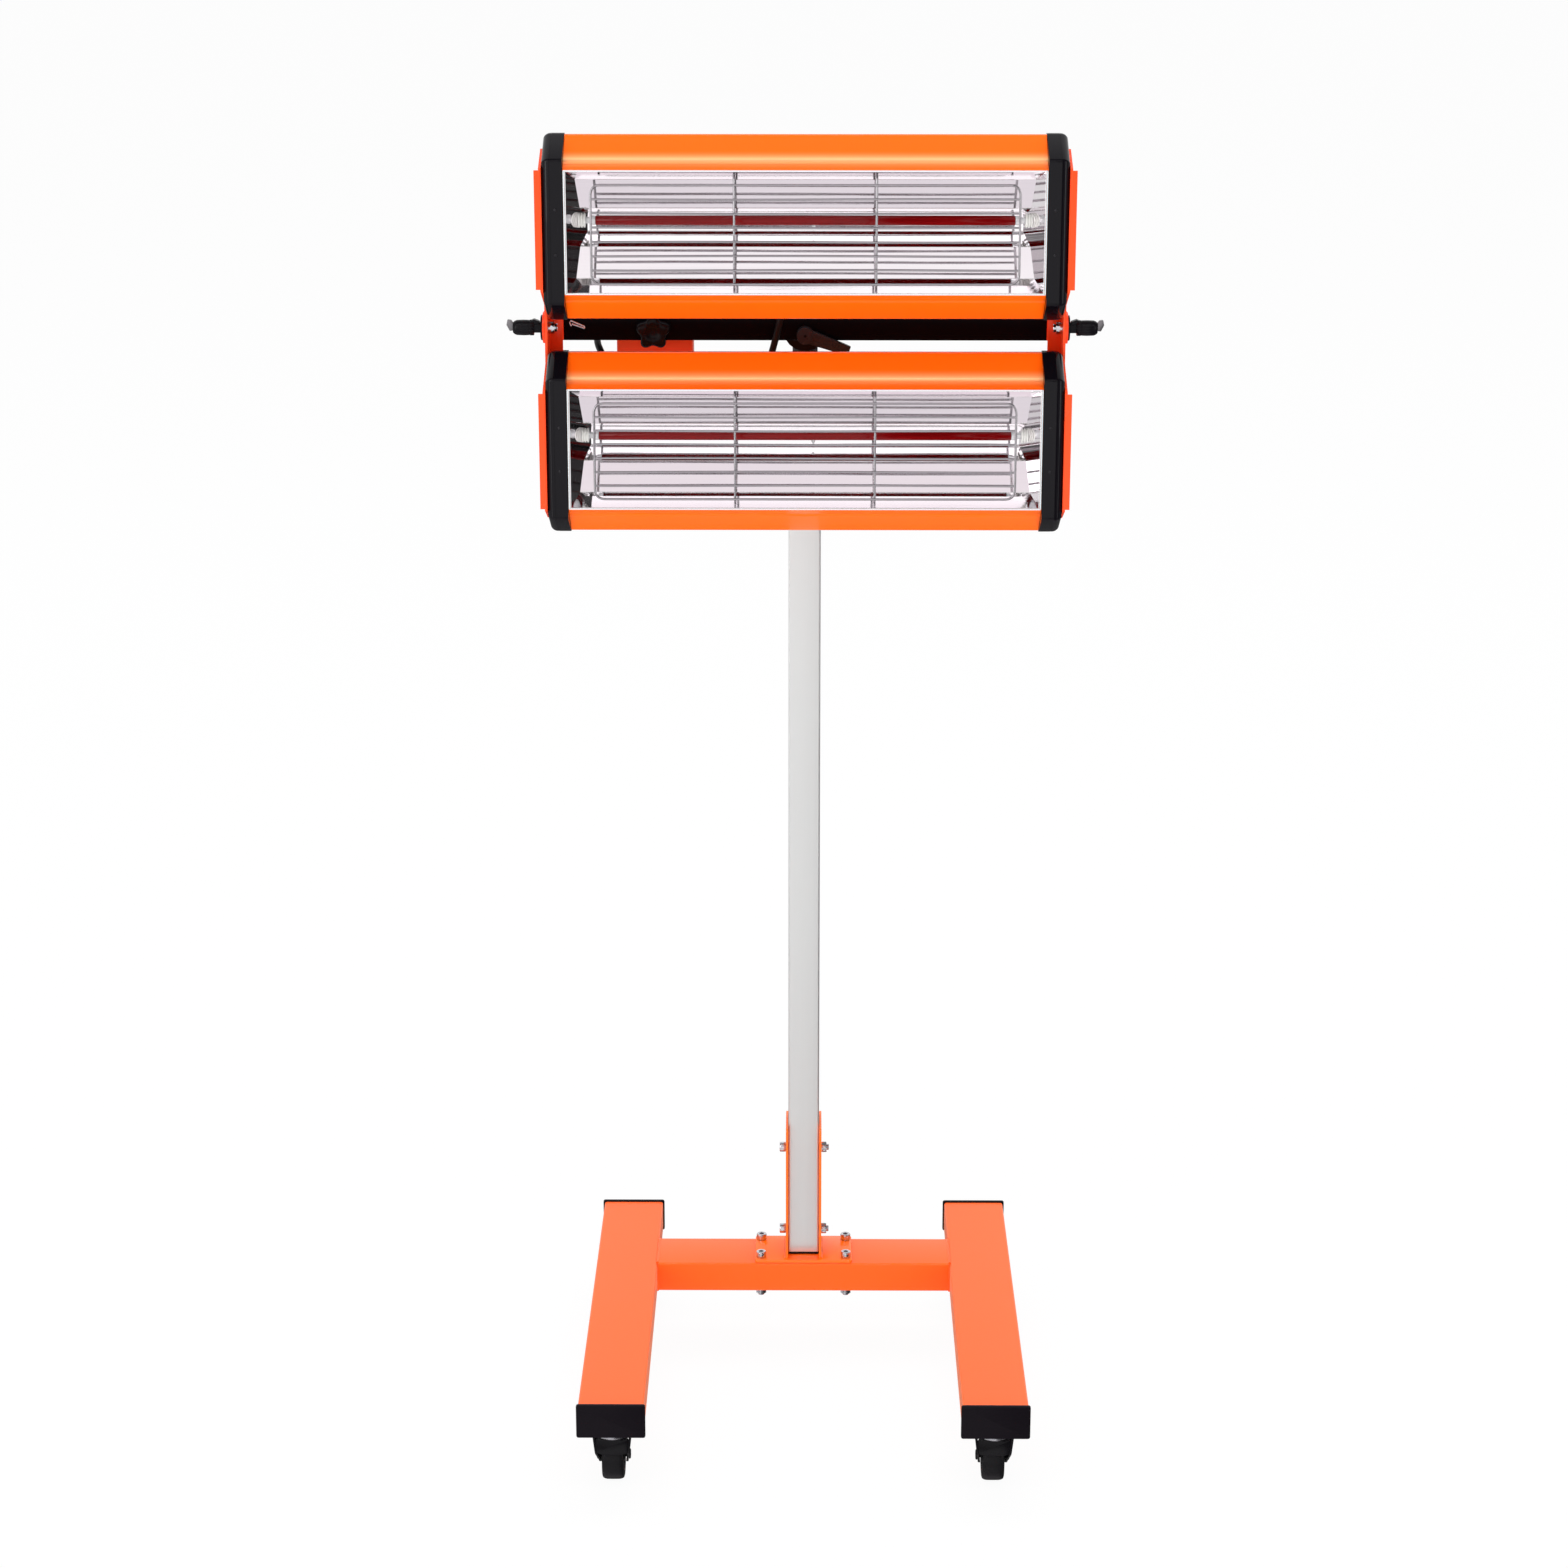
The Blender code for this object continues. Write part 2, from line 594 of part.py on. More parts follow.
def caster_fork_mesh():
    """Crown, hood, two cheeks and the axle of a caster, trailing toward +Y."""
    crown_top = FORK_TOP - FORK_METAL / 2
    front = -RACE_RADIUS * FORK_FRONT_SHARE
    hood_low = FORK_UNDER - FORK_HOOD_DROP
    pedal_z = WHEEL_RADIUS + PEDAL_RISE
    rear = PEDAL_BACK + 2 * PEDAL_PIN_RADIUS
    quarter = ROUND_SIDES // 4
    crown_outline = [
        (RACE_RADIUS * math.cos(math.pi * (1 + k / (2 * quarter))),
         RACE_RADIUS * math.sin(math.pi * (1 + k / (2 * quarter))))
        for k in range(2 * quarter + 1)
    ]
    crown_outline += [(RACE_RADIUS, CASTER_TRAIL), (-RACE_RADIUS, CASTER_TRAIL)]
    crown = prism(crown_outline, "Z", FORK_UNDER, FORK_TOP)
    cheek_outline = [(front, crown_top), (front, hood_low)]
    cheek_outline += [
        (CASTER_TRAIL + FORK_BOSS_RADIUS * math.cos(math.radians(angle)),
         WHEEL_RADIUS + FORK_BOSS_RADIUS * math.sin(math.radians(angle)))
        for angle in FORK_BOSS_ANGLES
    ]
    cheek_outline += [(rear, pedal_z - 2 * PEDAL_PIN_RADIUS), (rear, crown_top)]
    inside = WHEEL_WIDTH / 2 + FORK_SIDE_GAP
    outside = inside + FORK_METAL
    cheeks = [flared(prism(cheek_outline, "X", side * inside, side * outside)) for side in (-1, 1)]
    hood_front = front + WELD_OVERLAP
    hood_high = crown_top + FORK_METAL / 4
    hood_outline = [(hood_front, hood_high), (hood_front, hood_low + FORK_METAL),
                    (hood_front + FORK_METAL, hood_low + FORK_METAL), (hood_front + FORK_METAL, hood_high)]
    middle = (inside + outside) / 2
    hood = flared(prism(hood_outline, "X", -middle, middle))
    axle = turned([
        (AXLE_HEAD_RADIUS, -outside - AXLE_HEAD_HEIGHT), (AXLE_HEAD_RADIUS, -middle),
        (AXLE_RADIUS, -middle), (AXLE_RADIUS, middle),
        (AXLE_HEAD_RADIUS, middle), (AXLE_HEAD_RADIUS, outside + AXLE_HEAD_HEIGHT),
    ], "X", (CASTER_TRAIL, WHEEL_RADIUS), BOLT_SIDES)
    reach = outside + FORK_FLARE + CUT_OVERRUN
    kingpin_hole = pin_hole(KINGPIN_RADIUS, "Z", (0, 0), FORK_UNDER - CUT_OVERRUN, FORK_TOP + CUT_OVERRUN)
    pedal_hole = pin_hole(PEDAL_PIN_RADIUS, "X", (PEDAL_BACK, pedal_z), -reach, reach)
    return cut(join(crown, *cheeks, hood, axle), kingpin_hole, pedal_hole)


def caster_wheel_mesh():
    """Bored wheel with rounded tread shoulders, whose lowest facet lies on the floor."""
    half = WHEEL_WIDTH / 2
    rim = WHEEL_RADIUS / math.cos(math.pi / WHEEL_SIDES)
    bore = clear_radius(AXLE_RADIUS, TURN_GAP, WHEEL_SIDES)
    profile = [
        (bore, -half), (rim - WHEEL_SHOULDER, -half), (rim, -half + WHEEL_SHOULDER),
        (rim, half - WHEEL_SHOULDER), (rim - WHEEL_SHOULDER, half), (bore, half),
    ]
    centre = (CASTER_TRAIL, WHEEL_RADIUS)
    return band([spread(circle(radius, WHEEL_SIDES, centre), "X", along) for radius, along in profile])


def brake_pedal_mesh():
    """Pedal with its pin, over the trailing side of the wheel."""
    pedal_z = WHEEL_RADIUS + PEDAL_RISE
    outline = [(PEDAL_BACK + back * PEDAL_LENGTH, pedal_z + up * PEDAL_LENGTH)
               for back, up in zip(PEDAL_BACK_SHARES, PEDAL_UP_SHARES)]
    pad = prism(outline, "X", -PEDAL_WIDTH / 2, PEDAL_WIDTH / 2)
    reach = RACE_RADIUS + FORK_METAL / 2
    pin = rod(PEDAL_PIN_RADIUS, "X", (PEDAL_BACK, pedal_z), -reach, reach, BOLT_SIDES)
    return join(pad, pin)


def build_casters():
    """Four swivel casters, those in front with a brake pedal, all trailing inward."""
    plate, fork, wheel, pedal = (caster_plate_mesh(), caster_fork_mesh(), caster_wheel_mesh(),
                                 brake_pedal_mesh())
    for end, along in (("front", -1), ("rear", 1)):
        for side, across in (("left", -1), ("right", 1)):
            name = end + "_" + side
            swivel = Vector((across * LEG_SPACING / 2, along * CASTER_BACK, 0))
            turn = Matrix.Rotation(math.pi if along > 0 else 0, 4, "Z")
            place = Matrix.Translation(swivel) @ turn
            axle = place @ Vector((0, CASTER_TRAIL, WHEEL_RADIUS))
            hinge = place @ Vector((0, PEDAL_BACK, WHEEL_RADIUS + PEDAL_RISE))
            seat = swivel + Vector((0, 0, FORK_TOP))
            add_part("caster_plate_" + name, moved(plate, place), "zinc", seat)
            body = add_part("caster_fork_" + name, moved(fork, place), "black_paint", seat)
            add_part("caster_wheel_" + name, moved(wheel, place), "black_rubber", axle, body)
            if end == "front":
                add_part("brake_pedal_" + side, moved(pedal, place), "black_plastic", hinge, body)


def build_post():
    """Saddle, post, foot cap and the screws that hold them."""
    inside = POST_WIDTH / 2 + FIT_GAP
    outside = inside + SADDLE_METAL
    centre = (0, CROSS_TUBE_BACK)
    heights = post_bolt_heights()
    base = prism(rectangle(centre, (SADDLE_LENGTH, SADDLE_DEPTH)), "Z", SADDLE_UNDER, SADDLE_TOP)
    walls = [
        prism(rectangle((side * (inside + outside) / 2, CROSS_TUBE_BACK), (SADDLE_METAL, SADDLE_WIDTH)),
              "Z", SADDLE_TOP - WELD_OVERLAP, SADDLE_UNDER + SADDLE_HEIGHT)
        for side in (-1, 1)
    ]
    base_holes = [bolt_hole("Z", place, SADDLE_UNDER - CUT_OVERRUN, SADDLE_TOP + CUT_OVERRUN)
                  for place in base_bolt_places()]
    reach = outside + CUT_OVERRUN
    cross_holes = [bolt_hole("X", (CROSS_TUBE_BACK, height), -reach, reach) for height in heights]
    add_part("post_bracket", cut(join(base, *walls), *base_holes, *cross_holes), "orange_paint")
    tube = square_tube(centre, (POST_WIDTH, POST_WIDTH), POST_WALL, "Z", POST_BOTTOM, POST_TOP)
    add_part("post", cut(tube, *cross_holes), "silver_aluminium")
    foot_low = SADDLE_TOP + FIT_GAP
    foot_top = foot_low + POST_PLUG_FLANGE
    flange = prism(rectangle(centre, (POST_WIDTH, POST_WIDTH)), "Z", foot_low, foot_top)
    plug_width = POST_WIDTH - 2 * (POST_WALL + FIT_GAP)
    plug = square_tube(centre, (plug_width, plug_width), POST_PLUG_WALL, "Z",
                       foot_top - WELD_OVERLAP, POST_BOTTOM + POST_PLUG_DEPTH)
    add_part("post_foot", join(flange, plug), "black_plastic")
    for number, place in enumerate(base_bolt_places(), start=1):
        add_part("base_bolt_" + str(number),
                 bolt_and_nut("Z", place, SADDLE_TOP + FIT_GAP, CASTER_HEIGHT - FIT_GAP), "chrome")
    for name, height in zip(("lower", "upper"), heights):
        bolt = bolt_and_nut("X", (CROSS_TUBE_BACK, height), -outside - FIT_GAP, outside + FIT_GAP)
        add_part("post_bolt_" + name, bolt, "chrome")


def lever_mesh(axis, centre, seat, out, pin_end, pin_radius, tip):
    """Clamp lever: a hub on its seat, a flat handle toward the tip, and a pin through to its end."""
    hub_end = seat + out * LEVER_HUB_HEIGHT
    middle = seat + out * LEVER_HUB_HEIGHT / 2
    body = turned([
        (LEVER_HUB_RADIUS, hub_end), (LEVER_HUB_RADIUS, seat), (pin_radius, seat), (pin_radius, pin_end),
    ], axis, centre, ROUND_SIDES)
    way = Vector(tip).normalized()
    across = Vector((-way.y, way.x))
    root = LEVER_HUB_RADIUS * LEVER_ROOT_SHARE
    end = LEVER_HUB_RADIUS * LEVER_TIP_SHARE
    foot = Vector(centre)
    far = foot + way * LEVER_LENGTH
    handle_outline = [foot - across * root, far - across * end, far + across * end, foot + across * root]
    half = LEVER_THICKNESS / 2
    handle = prism([tuple(point) for point in handle_outline], axis, middle - half, middle + half)
    return join(body, handle)


def build_post_head():
    """Fork plugged into the top of the post, with a nut welded to its left ear."""
    centre = (0, CROSS_TUBE_BACK)
    flange_low = POST_TOP + FIT_GAP
    flange_top = flange_low + HEAD_FLANGE
    plug_width = POST_WIDTH - 2 * (POST_WALL + FIT_GAP)
    plug = square_tube(centre, (plug_width, plug_width), HEAD_EAR_METAL, "Z",
                       POST_TOP - HEAD_PLUG_DEPTH, flange_low + WELD_OVERLAP)
    flange = prism(rectangle(centre, (POST_WIDTH, POST_WIDTH)), "Z", flange_low, flange_top)
    pivot = (ARM_PIVOT.y, ARM_PIVOT.z)
    ear_outline = [(pivot[0] - HEAD_EAR_RADIUS, flange_top - WELD_OVERLAP),
                   (pivot[0] + HEAD_EAR_RADIUS, flange_top - WELD_OVERLAP)]
    ear_outline += [
        (pivot[0] + HEAD_EAR_RADIUS * math.cos(math.tau * k / ROUND_SIDES),
         pivot[1] + HEAD_EAR_RADIUS * math.sin(math.tau * k / ROUND_SIDES))
        for k in range(ROUND_SIDES // 2 + 1)
    ]
    inside = ARM_WIDTH / 2 + FIT_GAP
    outside = inside + HEAD_EAR_METAL
    ears = [prism(ear_outline, "X", side * inside, side * outside) for side in (-1, 1)]
    nut_end = outside + NUT_HEIGHT
    nut_radius = NUT_RADIUS + WELD_OVERLAP
    nut = turned([(nut_radius, -nut_end), (nut_radius, -inside - WELD_OVERLAP)],
                 "X", pivot, BOLT_SIDES, hexagon)
    bore = pin_hole(ARM_PIN_RADIUS, "X", pivot, -nut_end - CUT_OVERRUN, outside + CUT_OVERRUN)
    add_part("post_head", cut(join(plug, flange, *ears, nut), bore), "black_paint", ARM_PIVOT)


def build_swing_arm():
    """Square tube from the post head up to the hub behind the crossbar, and its clamp lever."""
    hub_middle = Vector((0, HUB_FACE + HUB_DEPTH / 2, ROLL_Z))
    along = hub_middle - ARM_PIVOT
    slope = math.atan2(along.z, -along.y)
    tube = square_tube((0, 0), (ARM_WIDTH, ARM_WIDTH), ARM_WALL, "Y", -along.length, ARM_TAIL)
    tube = moved(tube, Matrix.Translation(ARM_PIVOT) @ Matrix.Rotation(-slope, 4, "X"))
    hub = rod(HUB_RADIUS, "Y", (0, ROLL_Z), HUB_FACE, HUB_FACE + HUB_DEPTH, ROUND_SIDES)
    reach = ARM_WIDTH / 2 + CUT_OVERRUN
    pivot = (ARM_PIVOT.y, ARM_PIVOT.z)
    pivot_bore = pin_hole(ARM_PIN_RADIUS, "X", pivot, -reach, reach)
    roll_bore = pin_hole(CENTRE_PIN_RADIUS, "Y", (0, ROLL_Z), HUB_FACE - CUT_OVERRUN,
                         HUB_FACE + HUB_DEPTH * ROLL_BORE_SHARE)
    axis = add_empty("arm_axis", ARM_PIVOT)
    add_part("swing_arm", cut(join(hub, tube), pivot_bore, roll_bore), "black_paint", ARM_PIVOT, axis)
    outside = ARM_WIDTH / 2 + FIT_GAP + HEAD_EAR_METAL
    pin_end = -outside - NUT_HEIGHT - BOLT_TAIL
    lever = lever_mesh("X", pivot, outside + FIT_GAP, 1, pin_end, ARM_PIN_RADIUS, ARM_LEVER_WAY_SHARES)
    add_part("arm_lever", lever, "black_plastic", ARM_PIVOT)
    return axis


def build_yoke(arm_axis):
    """Crossbar on its roll pivot, with clamp lever, end brackets and ratchet handles."""
    axis = add_empty("roll_axis", ROLL_AXIS, arm_axis)
    centre = ((CROSSBAR_FRONT + CROSSBAR_BACK) / 2, YOKE_Z)
    half = CROSSBAR_END
    bar = square_tube(centre, (CROSSBAR_DEPTH, CROSSBAR_HEIGHT), CROSSBAR_WALL, "X", -half, half)
    front, back = CROSSBAR_FRONT - CUT_OVERRUN, CROSSBAR_BACK + CUT_OVERRUN
    roll_bore = pin_hole(CENTRE_PIN_RADIUS, "Y", (0, ROLL_Z), front, back)
    knob_bore = pin_hole(KNOB_STUD_RADIUS, "Y", (-BOX_SIDE, YOKE_Z - KNOB_DROP), front, back)
    add_part("crossbar", cut(bar, roll_bore, knob_bore), "black_paint", ROLL_AXIS, axis)
    pin_end = HUB_FACE + HUB_DEPTH * CENTRE_PIN_SHARE
    lever = lever_mesh("Y", (0, ROLL_Z), CROSSBAR_FRONT - FIT_GAP, -1, pin_end, CENTRE_PIN_RADIUS,
                       CLAMP_LEVER_WAY_SHARES)
    add_part("clamp_lever", lever, "black_plastic", ROLL_AXIS, axis)
    pivot = (TILT_AXIS.y, TILT_AXIS.z)
    rear = CROSSBAR_FRONT - FIT_GAP
    low, high = YOKE_Z - CROSSBAR_HEIGHT / 2, YOKE_Z + CROSSBAR_HEIGHT / 2
    ear_outline = [(rear, low), (rear, high)] + [
        (pivot[0] - BRACKET_RADIUS * math.sin(math.pi * k / (ROUND_SIDES / 2)),
         pivot[1] + BRACKET_RADIUS * math.cos(math.pi * k / (ROUND_SIDES / 2)))
        for k in range(ROUND_SIDES // 2 + 1)
    ]
    ear_outside = EAR_INSIDE + BRACKET_METAL
    ear = prism(ear_outline, "X", EAR_INSIDE, ear_outside)
    flange = box((ear_outside - BRACKET_FLANGE, rear - BRACKET_METAL, low + WELD_OVERLAP),
                 (ear_outside - WELD_OVERLAP, rear - WELD_OVERLAP / 2, high - WELD_OVERLAP))
    bore = pin_hole(STUD_RADIUS, "X", pivot, EAR_INSIDE - CUT_OVERRUN, ear_outside + CUT_OVERRUN)
    bracket = cut(join(ear, flange), bore)
    handle = ratchet_handle_mesh(pivot)
    for side, across in (("left", -1), ("right", 1)):
        seat = Vector((across * EAR_INSIDE, TILT_AXIS.y, TILT_AXIS.z))
        own_bracket = bracket.copy() if across > 0 else mirrored(bracket)
        own_handle = handle.copy() if across > 0 else mirrored(handle)
        add_part("end_bracket_" + side, own_bracket, "red_orange_paint", seat, axis)
        add_part("ratchet_handle_" + side, own_handle, "black_plastic", seat, axis)
    return axis


def ratchet_handle_mesh(pivot):
    """Nut, stud, disc, grip and short thumb lever of the right-hand ratchet handle."""
    nut_outside = ARM_INSIDE - FIT_GAP
    grip_start = DISC_INSIDE + DISC_THICKNESS
    grip_end = grip_start + GRIP_LENGTH
    steps = [
        (hexagon, NUT_RADIUS, nut_outside - NUT_HEIGHT), (hexagon, NUT_RADIUS, nut_outside),
        (circle, STUD_RADIUS, nut_outside), (circle, STUD_RADIUS, DISC_INSIDE),
        (circle, DISC_RADIUS, DISC_INSIDE), (circle, DISC_RADIUS, grip_start),
        (circle, GRIP_RADIUS, grip_start), (circle, GRIP_RADIUS, grip_end),
    ]
    body = loft([spread(shape(radius, BOLT_SIDES, pivot), "X", along) for shape, radius, along in steps])
    start = grip_end - WELD_OVERLAP
    outline = [(start + along * GRIP_TIP, pivot[1] + up * GRIP_TIP)
               for along, up in zip(TIP_ALONG_SHARES, TIP_UP_SHARES)]
    half = GRIP_RADIUS * BAR_SHARE / 2
    tip = prism(outline, "Y", pivot[0] - half, pivot[0] + half)
    return join(body, tip)


def build_side_arms(tilt):
    """Two sheet-steel arms with front flanges, which carry the heads on the tilt axis."""
    middle = TILT_AXIS.z - HEAD_DROP
    lobe = [(HEAD_FACE + back * SIDE_ARM_DEPTH, up * SIDE_ARM_HALF)
            for back, up in zip(LOBE_DEPTH_SHARES, LOBE_HEIGHT_SHARES)]
    neck = (TILT_AXIS.y - SIDE_ARM_NECK, NECK_SHARE * SIDE_ARM_HALF)
    upper = [neck] + lobe[:-1]
    outline = [(y, middle + z) for y, z in upper] + [(y, middle - z) for y, z in reversed(upper)]
    outside = ARM_INSIDE + SIDE_ARM_METAL
    web = prism(outline, "X", ARM_INSIDE, outside)
    low, high = (share * SIDE_ARM_HALF for share in FLANGE_SHARES)
    flange_middle = (ARM_INSIDE + (SIDE_ARM_FLANGE + WELD_OVERLAP) / 2, HEAD_FACE + SIDE_ARM_METAL / 3)
    flange_size = (SIDE_ARM_FLANGE - WELD_OVERLAP, SIDE_ARM_METAL)
    flanges = [
        prism(rectangle(flange_middle, flange_size), "Z", middle + way * low, middle + way * high)
        for way in (-1, 1)
    ]
    bore = pin_hole(STUD_RADIUS, "X", (TILT_AXIS.y, TILT_AXIS.z), ARM_INSIDE - CUT_OVERRUN,
                    outside + CUT_OVERRUN)
    arm = cut(join(web, *flanges), bore)
    add_part("side_arm_left", mirrored(arm), "red_orange_paint", TILT_AXIS, tilt)
    add_part("side_arm_right", arm, "red_orange_paint", TILT_AXIS, tilt)


def offset_path(path, distance, closed=False):
    """Move the points of a flat path to its left by the distance, with mitred corners."""
    count = len(path)
    result = []
    for index, point in enumerate(path):
        normals = []
        for start, stop in ((index - 1, index), (index, index + 1)):
            if not closed and (start < 0 or stop == count):
                continue
            way = (Vector(path[stop % count]) - Vector(path[start])).normalized()
            normals.append(Vector((-way.y, way.x)))
        mean = sum(normals, Vector((0, 0))).normalized()
        result.append(tuple(Vector(point) + mean * (distance / mean.dot(normals[0]))))
    return result


def shell_path(middle):
    """Section of a head from its lower lip round the back to its upper lip."""
    mouth = MOUTH_HEIGHT / 2
    swell = HEAD_HEIGHT / 2 - mouth
    side = [(HEAD_FACE + back * HEAD_DEPTH, mouth + up * swell)
            for back, up in zip(SHELL_DEPTH_SHARES, SHELL_HEIGHT_SHARES)]
    return [(y, middle - z) for y, z in side] + [(y, middle + z) for y, z in reversed(side)]


def shell_mesh(middle, gland_place):
    """Bent sheet shell of a head, open in front and at its ends, with a lead gland behind."""
    outer = shell_path(middle)
    inner = offset_path(outer, SHELL_WALL)
    half = SHELL_LENGTH / 2
    stations = [
        [Vector((-half, *first)), Vector((half, *first)), Vector((half, *second)), Vector((-half, *second))]
        for first, second in zip(outer, inner)
    ]
    rear = HEAD_FACE + HEAD_DEPTH
    gland = rod(GLAND_RADIUS, "Y", gland_place, rear - SHELL_WALL / 2, rear + GLAND_LENGTH, BOLT_SIDES)
    return join(loft(stations), gland)


def reflector_half_height(depth):
    """Half height of the reflector at a depth behind its rim."""
    half = MOUTH_HEIGHT / 2 - SHELL_WALL - FIT_GAP
    share = depth / REFLECTOR_DEPTH
    steps = list(zip(REFLECTOR_DEPTH_SHARES, REFLECTOR_HEIGHT_SHARES))
    for (depth_a, height_a), (depth_b, height_b) in zip(steps, steps[1:]):
        if share <= depth_b:
            return half * (height_a + (height_b - height_a) * (share - depth_a) / (depth_b - depth_a))
    return half * steps[-1][1]


def reflector_mesh(middle):
    """Mirror trough with slanted ends, which have holes for the lamp."""
    rim = HEAD_FACE + REFLECTOR_SETBACK
    half = SHELL_LENGTH / 2 - REFLECTOR_END_GAP
    outer, inner = [], []
    for share in REFLECTOR_DEPTH_SHARES:
        y = rim + share * REFLECTOR_DEPTH
        width = 2 * (half - share * REFLECTOR_SLANT)
        height = 2 * reflector_half_height(share * REFLECTOR_DEPTH)
        trim = 2 * REFLECTOR_METAL
        floor = REFLECTOR_METAL if share == 1 else 0
        outer.append(spread(rectangle((0, middle), (width, height)), "Y", y))
        inner.append(spread(rectangle((0, middle), (width - trim, height - trim)), "Y", y - floor))
    trough = loft(list(reversed(outer)) + inner)
    lamp = (HEAD_FACE + LAMP_DEPTH, middle + LAMP_RISE)
    radius = CERAMIC_RADIUS + LAMP_HOLE_GAP
    holes = [rod(radius, "X", lamp, side * LAMP_RED_END, side * half, BOLT_SIDES) for side in (-1, 1)]
    return cut(trough, *holes)


def lamp_mesh(middle):
    """Ruby quartz tube between its two ceramic ends."""
    tube = LAMP_RED_END + LAMP_CLEAR_LENGTH
    end = tube + CERAMIC_LENGTH
    return turned([
        (CERAMIC_RADIUS, -end), (CERAMIC_RADIUS, -tube), (LAMP_RADIUS, -tube),
        (LAMP_RADIUS, tube), (CERAMIC_RADIUS, tube), (CERAMIC_RADIUS, end),
    ], "X", (HEAD_FACE + LAMP_DEPTH, middle + LAMP_RISE), BOLT_SIDES)


def end_cap_mesh(middle):
    """Hollow moulded cap of the right-hand end, with the lamp's socket inside."""
    outline = offset_path(shell_path(middle), -END_CAP_PROUD, closed=True)
    start = SHELL_LENGTH / 2 + FIT_GAP
    stop = start + END_CAP_WIDTH
    floor = stop - END_CAP_WALL
    rings = [
        spread(offset_path(outline, END_CAP_WALL + END_CAP_ROUND / 2, closed=True), "X", floor),
        spread(offset_path(outline, END_CAP_WALL, closed=True), "X", floor - END_CAP_ROUND),
        spread(offset_path(outline, END_CAP_WALL, closed=True), "X", start),
        spread(outline, "X", start),
    ]
    for angle in END_CAP_ANGLES:
        turn = math.radians(angle)
        inset = END_CAP_ROUND * (1 - math.cos(turn))
        along = stop - END_CAP_ROUND * (1 - math.sin(turn))
        ring = offset_path(outline, inset, closed=True) if inset > 0 else outline
        rings.append(spread(ring, "X", along))
    lamp_end = LAMP_RED_END + LAMP_CLEAR_LENGTH + CERAMIC_LENGTH
    socket = rod(CERAMIC_RADIUS + END_CAP_PROUD, "X", (HEAD_FACE + LAMP_DEPTH, middle + LAMP_RISE),
                 lamp_end + FIT_GAP, floor + END_CAP_WALL / 2, BOLT_SIDES)
    return join(loft(rings), socket)


def wire_loop(half_width, half_height, corner, plane, middle):
    """Closed wire in an upright plane, a rectangle with round corners."""
    path = []
    for quarter, (across, up) in enumerate(((1, 1), (-1, 1), (-1, -1), (1, -1))):
        for step in range(GUARD_CORNER_STEPS + 1):
            angle = (quarter + step / GUARD_CORNER_STEPS) * math.pi / 2
            path.append(Vector((across * (half_width - corner) + corner * math.cos(angle), 0,
                                up * (half_height - corner) + corner * math.sin(angle))))
    rings = []
    for index, point in enumerate(path):
        way = (path[(index + 1) % len(path)] - path[index - 1]).normalized()
        side = way.cross(Vector((0, 1, 0)))
        rings.append([
            point + Vector((0, plane, middle)) + Vector((0, first, 0)) + side * second
            for first, second in circle(GUARD_WIRE / 2, WIRE_SIDES)
        ])
    return band(rings)


def guard_mesh(middle):
    """Welded wire guard: a loop, the bars across it and two posts behind them."""
    plane = HEAD_FACE + GUARD_SETBACK
    centre = middle - GUARD_DROP
    half_width = (SHELL_LENGTH - GUARD_WIRE) / 2 - GUARD_MARGIN
    half_height = (GUARD_HEIGHT - GUARD_WIRE) / 2
    loop = wire_loop(half_width, half_height, GUARD_ROUND, plane, centre)
    pitch = 2 * half_height / (GUARD_BARS - 1)
    bars = [
        rod(BAR_SHARE * GUARD_WIRE / 2, "X", (plane, centre - half_height + k * pitch),
            -half_width, half_width, WIRE_SIDES)
        for k in range(1, GUARD_BARS - 1)
    ]
    post_plane = plane + GUARD_WIRE * GUARD_SINK_SHARE
    deepest = GUARD_SETBACK - REFLECTOR_SETBACK + GUARD_WIRE * (GUARD_SINK_SHARE + 1 / 2)
    reach = reflector_half_height(deepest) - REFLECTOR_METAL - FIT_GAP
    posts = [
        rod(GUARD_WIRE / 2, "Z", (side * GUARD_POST_SPACING / 2, post_plane), middle - reach,
            middle + reach, WIRE_SIDES)
        for side in (-1, 1)
    ]
    return join(loop, *posts, *bars)


def build_heads(tilt):
    """Two like heads, one above and one below the tilt axis."""
    for level, way, gland in (("upper", 1, UPPER_GLAND), ("lower", -1, LOWER_GLAND)):
        middle = TILT_AXIS.z - HEAD_DROP + way * HEAD_PITCH / 2
        place = (gland[0], middle + gland[1])
        add_part("shell_" + level, shell_mesh(middle, place), "orange_shell", TILT_AXIS, tilt)
        cap = end_cap_mesh(middle)
        add_part("end_cap_" + level + "_left", mirrored(cap), "black_gloss", TILT_AXIS, tilt)
        add_part("end_cap_" + level + "_right", cap, "black_gloss", TILT_AXIS, tilt)
        add_part("reflector_" + level, reflector_mesh(middle), "mirror_aluminium", TILT_AXIS, tilt)
        add_part("lamp_" + level, lamp_mesh(middle), "ruby_quartz", TILT_AXIS, tilt)
        add_part("guard_" + level, guard_mesh(middle), "chrome", TILT_AXIS, tilt)


def lobed(radius, sides, centre=(0, 0)):
    """Give the outline of a star knob with one lobe pointing down."""
    points = []
    for k in range(sides):
        angle = (k + 0.5) * math.tau / sides
        reach = radius + KNOB_LOBE * math.cos(KNOB_LOBES * (angle + math.pi / 2))
        points.append((centre[0] + reach * math.cos(angle), centre[1] + reach * math.sin(angle)))
    return points


